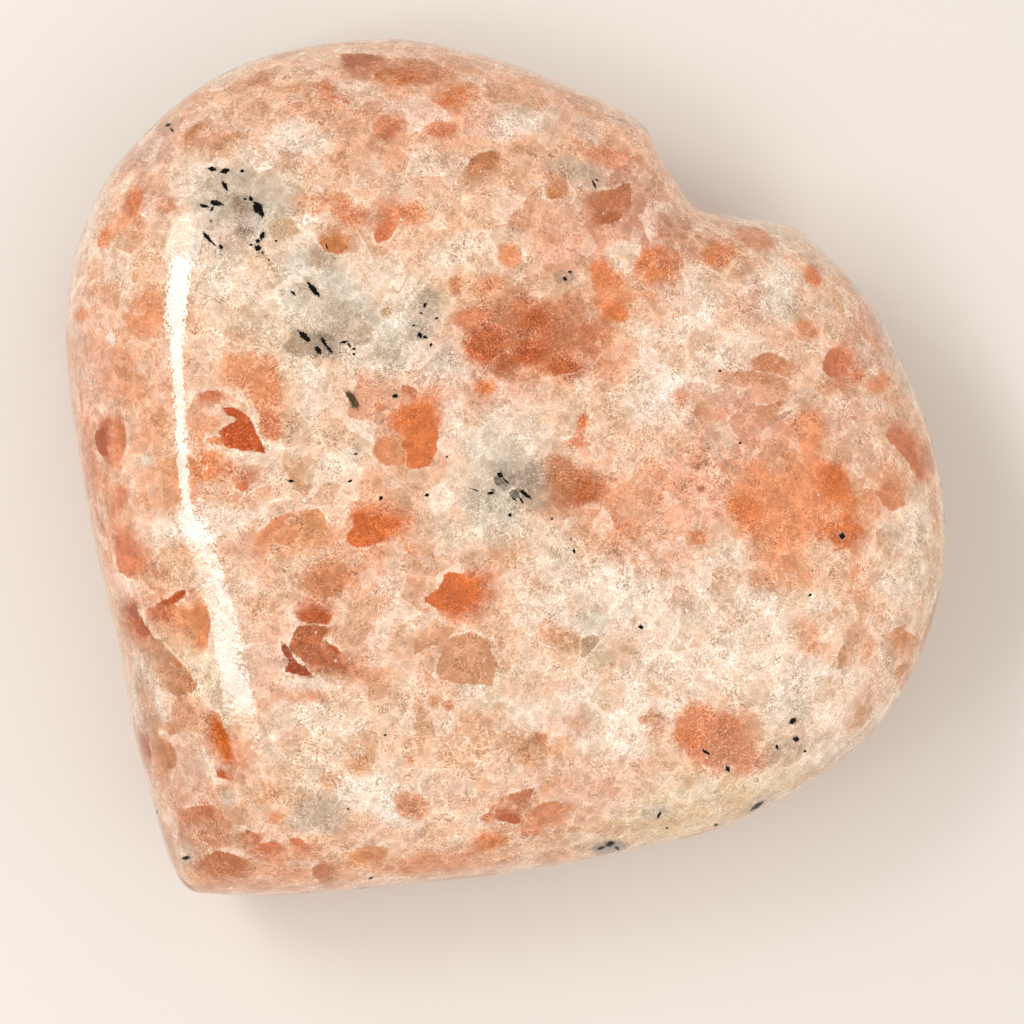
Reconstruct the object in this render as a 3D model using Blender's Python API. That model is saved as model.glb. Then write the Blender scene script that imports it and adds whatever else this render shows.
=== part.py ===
"""A polished sunstone palm heart, one solid piece of feldspar, lying on the flat of its back.

Metres, +Z up. +Y runs from the tip of the heart to its notch, +X to the right lobe.
The origin is the middle of the heart's box, on the surface that the heart lies on.
"""

import math

import bmesh
import bpy
import numpy as np

MM = 0.001

# The widest line of the heart as seen from above, clockwise from the notch, in millimetres.
# The stone was shaped by hand, so the two lobes and the two flanks aren't quite alike.
NOTCH = [(0.5, 30.4)]
RIGHT_LOBE = [
    (6.3, 33.2), (7.8, 33.8), (9.5, 33.8), (16.1, 32.7), (21.8, 30.0),
    (27.0, 26.6), (31.9, 21.4), (34.9, 15.1), (36.0, 7.6),
]
RIGHT_FLANK = [(34.2, 0.3), (30.9, -6.1), (26.4, -11.5), (18.8, -19.2), (11.9, -25.2), (5.9, -30.2)]
TIP = [(1.4, -33.3), (-0.3, -34.1), (-2.3, -33.3)]
LEFT_FLANK = [(-6.4, -30.2), (-10.6, -26.8), (-14.2, -23.2), (-23.6, -15.0), (-32.8, -4.8)]
LEFT_LOBE = [
    (-35.8, 1.9), (-36.4, 7.0), (-34.0, 17.0), (-26.2, 26.0), (-19.3, 29.7),
    (-13.3, 31.7), (-7.9, 32.9), (-6.1, 32.9), (-4.6, 32.1), (-2.5, 31.3),
]

GIRTH_HEIGHT = 11.5
FRONT_SHOULDER_RISE = 8.2
FRONT_SHOULDER_SPAN = 0.36
FRONT_SHOULDER_POWER = 2.2
FRONT_DOME_RISE = 4.3
BACK_SPAN = 0.5
BACK_POWER = 2.4

POINTS_AROUND = 108
SHOULDER_RINGS = 9
DOME_RINGS = 6
SMALLEST_RING = 0.06
CORNER_SOFTENING = 11.0

STONE_COLOUR = (0.79, 0.46, 0.29, 1.0)
STONE_ROUGHNESS = 0.12


def clear_scene():
    for obj in list(bpy.data.objects):
        bpy.data.objects.remove(obj)


def spline_through(corners, steps):
    """A closed centripetal Catmull-Rom spline through the corners, with steps points between two corners."""
    corners = np.array(corners)
    drawn = []
    for i in range(len(corners)):
        a, b, c, d = (corners[(i + k) % len(corners)] for k in (-1, 0, 1, 2))
        t1 = math.sqrt(np.linalg.norm(b - a))
        t2 = t1 + math.sqrt(np.linalg.norm(c - b))
        t3 = t2 + math.sqrt(np.linalg.norm(d - c))
        t = np.linspace(t1, t2, steps, endpoint=False)[:, None]
        ab = a + (b - a) * t / t1
        bc = b + (c - b) * (t - t1) / (t2 - t1)
        cd = c + (d - c) * (t - t2) / (t3 - t2)
        abc = ab + (bc - ab) * t / t2
        bcd = bc + (cd - bc) * (t - t1) / (t3 - t1)
        drawn.append(abc + (bcd - abc) * (t - t1) / (t2 - t1))
    return np.concatenate(drawn)


def evenly_spaced(loop, count):
    """Points at equal steps along a closed line."""
    closed = np.vstack([loop, loop[:1]])
    along = np.concatenate([[0.0], np.cumsum(np.linalg.norm(np.diff(closed, axis=0), axis=1))])
    wanted = np.linspace(0.0, along[-1], count, endpoint=False)
    return np.stack([np.interp(wanted, along, closed[:, axis]) for axis in (0, 1)], axis=1)


def heart_outline():
    """The widest line, with the middle of its box on the origin."""
    corners = NOTCH + RIGHT_LOBE + RIGHT_FLANK + TIP + LEFT_FLANK + LEFT_LOBE
    loop = spline_through(corners, steps=24)
    middle = (loop.min(axis=0) + loop.max(axis=0)) / 2
    return evenly_spaced(loop - middle, POINTS_AROUND)


def ring_at(outline, inward):
    """The outline drawn in towards the middle by a share of its reach, its corners softening on the way."""
    reach = np.linalg.norm(outline, axis=1)
    girth = np.linalg.norm(np.diff(outline, axis=0, append=outline[:1]), axis=1).sum()
    waves = np.arange(len(reach) // 2 + 1)
    blur = CORNER_SOFTENING * inward * 2 * math.pi / girth
    softened = np.fft.irfft(np.fft.rfft(reach) * np.exp(-0.5 * (waves * blur) ** 2), len(reach))
    return outline / reach[:, None] * softened[:, None] * (1 - inward)


def bulge(share, power):
    """A superellipse quarter: 0 and upright at the widest line, 1 and level from share 1 on."""
    left = 1 - min(share, 1.0)
    return (1 - left**power) ** (1 / power)


def front_height(inward):
    shoulder = FRONT_SHOULDER_RISE * bulge(inward / FRONT_SHOULDER_SPAN, FRONT_SHOULDER_POWER)
    return GIRTH_HEIGHT + shoulder + FRONT_DOME_RISE * bulge(inward, 2.0)


def back_height(inward):
    return GIRTH_HEIGHT * (1 - bulge(inward / BACK_SPAN, BACK_POWER))


def ring_places():
    """(share of the way in, height) of every ring, from the edge of the flat back to the top of the front."""
    quarter = [math.pi / 2 * k / SHOULDER_RINGS for k in range(SHOULDER_RINGS + 1)]
    back = [BACK_SPAN * (1 - math.cos(turn)) for turn in reversed(quarter)]
    shoulder = [FRONT_SHOULDER_SPAN * (1 - math.cos(turn)) for turn in quarter[1:]]
    dome = np.linspace(FRONT_SHOULDER_SPAN, 1 - SMALLEST_RING, DOME_RINGS + 1)[1:]
    front = shoulder + [float(inward) for inward in dome]
    return [(inward, back_height(inward)) for inward in back] + [
        (inward, front_height(inward)) for inward in front
    ]


def heart_mesh():
    """Rings of points stacked from the flat back to the top, skinned from one ring to the next."""
    outline = heart_outline()
    shape = bmesh.new()
    rings = []
    for inward, height in ring_places():
        ring = [
            shape.verts.new((x * MM, y * MM, height * MM)) for x, y in ring_at(outline, inward)
        ]
        rings.append(ring)
    for lower, upper in zip(rings, rings[1:]):
        for i in range(POINTS_AROUND):
            j = (i + 1) % POINTS_AROUND
            shape.faces.new((lower[i], lower[j], upper[j], upper[i]))
    shape.faces.new(reversed(rings[0]))
    crown = shape.faces.new(rings[-1])
    summit = bmesh.ops.poke(shape, faces=[crown])["verts"][0]
    summit.co.z = front_height(1.0) * MM
    bmesh.ops.recalc_face_normals(shape, faces=shape.faces)
    mesh = bpy.data.meshes.new("heart")
    shape.to_mesh(mesh)
    shape.free()
    mesh.shade_smooth()
    mesh.set_sharp_from_angle(angle=math.radians(40))
    return mesh


def polished_feldspar():
    material = bpy.data.materials.new("polished_feldspar")
    material.use_nodes = True
    surface = material.node_tree.nodes["Principled BSDF"]
    surface.inputs["Base Color"].default_value = STONE_COLOUR
    surface.inputs["Roughness"].default_value = STONE_ROUGHNESS
    surface.inputs["Metallic"].default_value = 0.0
    return material


clear_scene()
heart = bpy.data.objects.new("heart", heart_mesh())
heart.data.materials.append(polished_feldspar())
bpy.context.scene.collection.objects.link(heart)
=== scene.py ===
import math
from functools import partial

import bpy
import numpy as np
from mathutils import Matrix


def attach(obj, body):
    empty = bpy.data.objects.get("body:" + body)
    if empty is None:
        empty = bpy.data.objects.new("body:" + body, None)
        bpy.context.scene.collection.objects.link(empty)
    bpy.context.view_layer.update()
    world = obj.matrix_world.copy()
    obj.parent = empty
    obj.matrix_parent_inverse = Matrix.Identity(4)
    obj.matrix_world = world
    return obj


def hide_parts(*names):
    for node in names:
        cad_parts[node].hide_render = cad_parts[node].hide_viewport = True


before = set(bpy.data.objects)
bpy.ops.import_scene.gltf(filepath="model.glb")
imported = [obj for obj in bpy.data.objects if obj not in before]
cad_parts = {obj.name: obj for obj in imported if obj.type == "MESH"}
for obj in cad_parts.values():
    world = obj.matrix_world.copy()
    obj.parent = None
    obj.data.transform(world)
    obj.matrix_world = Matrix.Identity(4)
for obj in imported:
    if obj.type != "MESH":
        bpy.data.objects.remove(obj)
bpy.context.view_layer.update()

mm = 0.001
print("frame loaded:", sorted(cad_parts))

# The camera hangs above the stone, turned so that the heart's tip points down and to the left.
photoCamera = {
    "imageSize": 1024,
    "focalPixels": 3951.0,
    "distance": 300.0,               # mm from the stone's middle
    "target": (3.25, 3.3, 12.0),     # mm
    "roll": 54.0,                    # degrees from image right to the heart's +Y
    "tilt": 12.0,                    # degrees off the vertical, towards image left
    "sensor": 36.0,
}


def cameraAxes():
    # image right, image up and backwards, as unit vectors of the stone's own frame
    roll, tilt = math.radians(photoCamera["roll"]), math.radians(photoCamera["tilt"])
    level = np.array([math.sin(roll), math.cos(roll), 0.0])
    up = np.array([-math.cos(roll), math.sin(roll), 0.0])
    upright = np.array([0.0, 0.0, 1.0])
    right = math.cos(tilt) * level + math.sin(tilt) * upright
    back = math.cos(tilt) * upright - math.sin(tilt) * level
    return right, up, back


imageRight, imageUp, imageBack = cameraAxes()
cameraPlace = np.array(photoCamera["target"]) + photoCamera["distance"] * imageBack
pixelsPerMm = photoCamera["focalPixels"] / photoCamera["distance"]


def placeObject(thing, place, right, up, back):
    # a matrix whose columns are the thing's own axes and its place in metres
    turn = np.eye(4)
    turn[:3, 0], turn[:3, 1], turn[:3, 2], turn[:3, 3] = right, up, back, np.array(place) * mm
    thing.matrix_world = Matrix(turn.tolist())
    bpy.context.scene.collection.objects.link(thing)


def makeCamera():
    data = bpy.data.cameras.new("photoCamera")
    data.sensor_width = photoCamera["sensor"]
    data.lens = photoCamera["focalPixels"] / photoCamera["imageSize"] * photoCamera["sensor"]
    data.clip_start, data.clip_end = 0.01, 20.0
    camera = bpy.data.objects.new("photoCamera", data)
    placeObject(camera, cameraPlace, imageRight, imageUp, imageBack)
    bpy.context.scene.camera = camera


makeCamera()
print("camera set")


def linearColour(hexCode):
    # an sRGB hex colour as the linear red, green and blue that the shader mixes
    parts = np.array([int(hexCode[k:k + 2], 16) for k in (0, 2, 4)]) / 255
    return np.where(parts <= 0.04045, parts / 12.92, ((parts + 0.055) / 1.055) ** 2.4)


def addNode(tree, kind, inputs=(), output=0, **settings):
    # one node with its settings; an input is another node's socket or a plain value, by its place or its name;
    # gives the named output, or with None all of them
    made = tree.nodes.new("ShaderNode" + kind)
    for name, value in settings.items():
        setattr(made, name, value)
    for socket, value in (inputs if isinstance(inputs, dict) else dict(enumerate(inputs))).items():
        if isinstance(value, bpy.types.NodeSocket):
            tree.links.new(value, made.inputs[socket])
        else:
            made.inputs[socket].default_value = value
    return made.outputs if output is None else made.outputs[output]


studio = {
    "world": "fff7f0", "worldStrength": 0.73, "floor": "e7e3dd", "floorSize": 3000.0,
    "worldLean": 0.72, "worldTurn": -25.0,   # how much brighter the room is on one side; 0 degrees is image right
    # five panes of one tall window, from the top down: width and height in mm, how far each stands off the
    # vertical to image right and to image top in degrees, and how bright its face is
    "panes": {
        "transom": (212.0, 124.0, -43.0, 30.2, 4.0),
        "sash": (128.0, 142.0, -41.0, 17.5, 15.0),
        "window": (84.0, 206.0, -38.7, 1.1, 12.0),
        "sill": (240.0, 40.0, -36.5, -10.7, 9.0),
        "foot": (250.0, 27.0, -36.0, -13.9, 5.0),
    },
    "paneAway": 600.0, "paneColour": "fdfdff",
}


def makePane(name, width, height, lean, pitch, glow):
    lean, pitch = math.radians(lean), math.radians(pitch)
    level, upright = np.array([imageUp[1], -imageUp[0], 0.0]), np.array([0.0, 0.0, 1.0])
    outward = math.cos(lean) * upright + math.sin(lean) * level
    back = math.cos(pitch) * outward + math.sin(pitch) * imageUp
    top = math.cos(pitch) * imageUp - math.sin(pitch) * outward
    data = bpy.data.lights.new(name, "AREA")
    data.shape = "RECTANGLE"
    data.size, data.size_y = width * mm, height * mm
    data.color = linearColour(studio["paneColour"])
    data.energy = glow * math.pi * data.size * data.size_y
    lamp = bpy.data.objects.new(name, data)
    placeObject(lamp, np.array(photoCamera["target"]) + studio["paneAway"] * back, np.cross(top, back), top, back)


def makeStudio():
    scene = bpy.context.scene
    scene.view_settings.view_transform = "Standard"
    world = bpy.data.worlds.new("paleRoom")
    scene.world = world
    world.use_nodes = True
    sky = world.node_tree.nodes["Background"]
    sky.inputs["Color"].default_value = (*linearColour(studio["world"]), 1.0)
    turn = math.radians(studio["worldTurn"])
    bright = np.array([imageUp[1], -imageUp[0], 0.0]) * math.cos(turn) + imageUp * math.sin(turn)
    direction = addNode(world.node_tree, "TexCoord", (), "Generated")
    towards = addNode(world.node_tree, "VectorMath", [direction, bright.tolist()], "Value", operation="DOT_PRODUCT")
    strength, lean = studio["worldStrength"], studio["worldLean"]
    level = addNode(world.node_tree, "MapRange", [towards, -1.0, 1.0, strength * (1 - lean), strength * (1 + lean)])
    world.node_tree.links.new(level, sky.inputs["Strength"])
    for name, pane in studio["panes"].items():
        makePane(name, *pane)
    half = studio["floorSize"] / 2 * mm
    mesh = bpy.data.meshes.new("floor")
    mesh.from_pydata([(-half, -half, 0), (half, -half, 0), (half, half, 0), (-half, half, 0)], [], [(0, 1, 2, 3)])
    floor = bpy.data.objects.new("floor", mesh)
    scene.collection.objects.link(floor)
    card = bpy.data.materials.new("paleCard")   # matt card: no gloss, so the stone stands on an even ground
    card.use_nodes = True
    surface = card.node_tree.nodes["Principled BSDF"]
    surface.inputs["Base Color"].default_value = (*linearColour(studio["floor"]), 1.0)
    surface.inputs["Roughness"].default_value = 0.9
    surface.inputs["Specular IOR Level"].default_value = 0.1
    mesh.materials.append(card)


makeStudio()
print("studio lit")

# The stone's widest line and its profile are the CAD solid's, drawn much finer. All in mm.
heartStone = {
    "outline": [
        (0.5, 30.4),   # the notch, then clockwise from above: right lobe, right flank, tip, left flank, left lobe
        (6.3, 33.2), (7.8, 33.8), (9.5, 33.8), (16.1, 32.7), (21.8, 30.0),
        (27.0, 26.6), (31.9, 21.4), (34.9, 15.1), (36.0, 7.6),
        (34.2, 0.3), (30.9, -6.1), (26.4, -11.5), (18.8, -19.2), (11.9, -25.2), (5.9, -30.2),
        (1.4, -33.3), (-0.3, -34.1), (-2.3, -33.3),
        (-6.4, -30.2), (-10.6, -26.8), (-14.2, -23.2), (-23.6, -15.0), (-32.8, -4.8),
        (-35.8, 1.9), (-36.4, 7.0), (-34.0, 17.0), (-26.2, 26.0), (-19.3, 29.7),
        (-13.3, 31.7), (-7.9, 32.9), (-6.1, 32.9), (-4.6, 32.1), (-2.5, 31.3),
    ],
    "girthHeight": 11.5,
    "shoulderRise": 8.2, "shoulderSpan": 0.36, "shoulderPower": 2.2,
    "domeRise": 4.3,
    "backSpan": 0.5, "backPower": 2.4,
    "cornerSoftening": 11.0,
    "pointsAround": 640, "shoulderRings": 44, "domeRings": 72, "backRings": 22, "flatRings": 6,
    "smallestRing": 0.015,
    "polishWaves": ((8.0, 0.08, 3), (3.2, 0.03, 4)),   # size and height, and the noise's seed
    "swells": ((-21.0, -14.5, 4.0, 0.45), (-23.0, 1.5, 4.0, 0.1)),   # x, y, radius and height
}


def splineThrough(corners, steps):
    # a closed centripetal Catmull-Rom spline: three rounds of straight blends between neighbouring corners
    a, b, c, d = (np.roll(corners, -k, axis=0) for k in (-1, 0, 1, 2))
    t1 = np.sqrt(np.linalg.norm(b - a, axis=1))[:, None, None]
    t2 = t1 + np.sqrt(np.linalg.norm(c - b, axis=1))[:, None, None]
    t3 = t2 + np.sqrt(np.linalg.norm(d - c, axis=1))[:, None, None]
    a, b, c, d = a[:, None], b[:, None], c[:, None], d[:, None]
    t = t1 + (t2 - t1) * np.linspace(0, 1, steps, endpoint=False)[None, :, None]
    ab = a + (b - a) * t / t1
    bc = b + (c - b) * (t - t1) / (t2 - t1)
    cd = c + (d - c) * (t - t2) / (t3 - t2)
    abc = ab + (bc - ab) * t / t2
    bcd = bc + (cd - bc) * (t - t1) / (t3 - t1)
    return (abc + (bcd - abc) * (t - t1) / (t2 - t1)).reshape(-1, 2)


def heartOutline():
    # points at equal steps along the widest line, the middle of its box on the origin
    loop = splineThrough(np.array(heartStone["outline"]), 24)
    loop = loop - (loop.min(axis=0) + loop.max(axis=0)) / 2
    closed = np.vstack([loop, loop[:1]])
    along = np.concatenate([[0.0], np.cumsum(np.linalg.norm(np.diff(closed, axis=0), axis=1))])
    wanted = np.linspace(0.0, along[-1], heartStone["pointsAround"], endpoint=False)
    return np.stack([np.interp(wanted, along, closed[:, axis]) for axis in (0, 1)], axis=1)


def bulge(share, power):
    # a superellipse quarter: 0 and upright at the widest line, 1 and level from share 1 on
    left = 1 - np.minimum(share, 1.0)
    return (1 - left**power) ** (1 / power)


def ringPlaces():
    # share of the way in and height of each ring, from the middle of the flat back to the top of the front
    stone = heartStone
    last = 1 - stone["smallestRing"]
    flat = np.linspace(last, stone["backSpan"], stone["flatRings"], endpoint=False)
    back = stone["backSpan"] * (1 - np.cos(np.linspace(math.pi / 2, 0, stone["backRings"])))
    shoulder = stone["shoulderSpan"] * (1 - np.cos(np.linspace(0, math.pi / 2, stone["shoulderRings"])[1:]))
    dome = np.linspace(stone["shoulderSpan"], last, stone["domeRings"] + 1)[1:]
    under = np.concatenate([flat, back])
    over = np.concatenate([shoulder, dome])
    lowHeight = stone["girthHeight"] * (1 - bulge(under / stone["backSpan"], stone["backPower"]))
    highHeight = (stone["girthHeight"]
                  + stone["shoulderRise"] * bulge(over / stone["shoulderSpan"], stone["shoulderPower"])
                  + stone["domeRise"] * bulge(over, 2.0))
    return np.concatenate([under, over]), np.concatenate([lowHeight, highHeight])


def valueNoise(points, size, seed):
    # smooth noise from 0 to 1: random values on a cubic lattice of that size in mm, blended with a smoothstep
    table = np.random.default_rng(seed).random((32, 32, 32))
    scaled = points / size
    low = np.floor(scaled).astype(int)
    part = scaled - low
    part = part * part * (3 - 2 * part)
    total = np.zeros(len(points))
    for corner in range(8):
        step = np.array([corner & 1, corner >> 1 & 1, corner >> 2 & 1])
        weight = np.where(step, part, 1 - part).prod(axis=1)
        total += weight * table[tuple(((low + step) % 32).T)]
    return total


def layeredNoise(points, layers, middle=0.0):
    # noises laid over each other: size in mm, height and seed of each, counted from the middle value
    return sum(height * (valueNoise(points, size, seed) - middle) for size, height, seed in layers)


def heartSurface():
    # place(ring, step around) = outline drawn in by the ring's share, its corners softened, at the ring's height
    outline = heartOutline()
    reach = np.linalg.norm(outline, axis=1)
    girth = np.linalg.norm(np.diff(outline, axis=0, append=outline[:1]), axis=1).sum()
    inward, height = ringPlaces()
    waves = np.arange(len(reach) // 2 + 1)
    blur = heartStone["cornerSoftening"] * inward[:, None] * 2 * math.pi / girth
    softened = np.fft.irfft(np.fft.rfft(reach) * np.exp(-0.5 * (waves * blur) ** 2), len(reach), axis=1)
    flatPlace = (outline / reach[:, None])[None] * (softened * (1 - inward[:, None]))[:, :, None]
    grid = np.concatenate([flatPlace, np.broadcast_to(height[:, None, None], (*flatPlace.shape[:2], 1))], axis=2)
    top = heartStone["girthHeight"] + heartStone["shoulderRise"] + heartStone["domeRise"]
    points = np.vstack([grid.reshape(-1, 3), [[0.0, 0.0, 0.0], [0.0, 0.0, top]]])
    # hand polishing leaves faint waves: the height gains value noise, less and less towards the flat back
    share = np.clip(points[:, 2] / heartStone["girthHeight"], 0, 1)
    lift = layeredNoise(points, heartStone["polishWaves"], 0.5)
    for x, y, radius, height in heartStone["swells"]:
        lift += height * np.exp(-((points[:, 0] - x) ** 2 + (points[:, 1] - y) ** 2) / (2 * radius * radius))
    points[:, 2] += share * lift
    return points, len(inward)


def skinOf(rings, around):
    # four-sided faces from ring to ring, and a fan of triangles at both poles, all pointing outwards
    ring = np.arange(rings - 1)[:, None] * around
    step = np.arange(around)[None, :]
    beside = (step + 1) % around
    quads = np.stack([ring + around + step, ring + around + beside, ring + beside, ring + step], axis=2).reshape(-1, 4)
    step, beside = np.arange(around), (np.arange(around) + 1) % around
    last = (rings - 1) * around
    under = np.stack([np.full(around, rings * around), step, beside], axis=1)
    over = np.stack([np.full(around, rings * around + 1), last + beside, last + step], axis=1)
    return quads, np.vstack([under, over])


def makeHeart():
    points, rings = heartSurface()
    quads, triangles = skinOf(rings, heartStone["pointsAround"])
    mesh = bpy.data.meshes.new("heartStone")
    mesh.vertices.add(len(points))
    mesh.vertices.foreach_set("co", (points * mm).astype(np.float32).ravel())
    corners = np.concatenate([quads.ravel(), triangles.ravel()])
    mesh.loops.add(len(corners))
    mesh.loops.foreach_set("vertex_index", corners.astype(np.int32))
    starts = np.concatenate([np.arange(len(quads)) * 4, len(quads) * 4 + np.arange(len(triangles)) * 3])
    mesh.polygons.add(len(starts))
    mesh.polygons.foreach_set("loop_start", starts.astype(np.int32))
    mesh.update(calc_edges=True)
    mesh.validate()
    mesh.shade_smooth()
    normals = np.zeros(len(points) * 3, np.float32)
    mesh.vertex_normals.foreach_get("vector", normals)
    stone = bpy.data.objects.new("heartStone", mesh)
    bpy.context.scene.collection.objects.link(stone)
    return stone, points, normals.reshape(-1, 3).astype(float)


heart, places, normals = makeHeart()
print("stone surface:", len(heart.data.vertices), "points")

# The minerals' own tones, as they look under the studio light.
tones = {
    "cream": "ead6be", "ivory": "f5e2ce", "milk": "f8ecdd", "butter": "ecd3b0", "peach": "eabf9f", "blush": "e6b296",
    "rose": "dba68d", "mauve": "c9a08f", "shell": "f7bb9d", "apricot": "e39a70", "salmon": "e9986c",
    "coral": "da8760", "caramel": "da9770", "honey": "e3a679", "flame": "e3854e", "amber": "dc7942",
    "orange": "dd7b40", "hot": "cf6e26", "ember": "c4601a", "sienna": "c46b40", "terra": "be7550", "rust": "ba6031",
    "brick": "a3431d", "garnet": "a0501e", "clay": "c68460", "copper": "cb8661", "ochre": "c68252", "tan": "ce956a",
    "umber": "ca8c62", "fawn": "d29b78", "sand": "daa684", "olive": "c4a37c", "needle": "5a4a26", "bone": "dabe9f",
    "mist": "e2d5c3", "frost": "cfcabc", "stone": "c2a890", "ash": "b9a48e", "smoke": "ccbba8", "slate": "a99685",
    "soot": "80766a",
}
glossVeil = 0.03   # linear share of the room's white that the polish mirrors over every tone
toneOf = {name: np.maximum(linearColour(code) - glossVeil, 0.002) for name, code in tones.items()}

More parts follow.
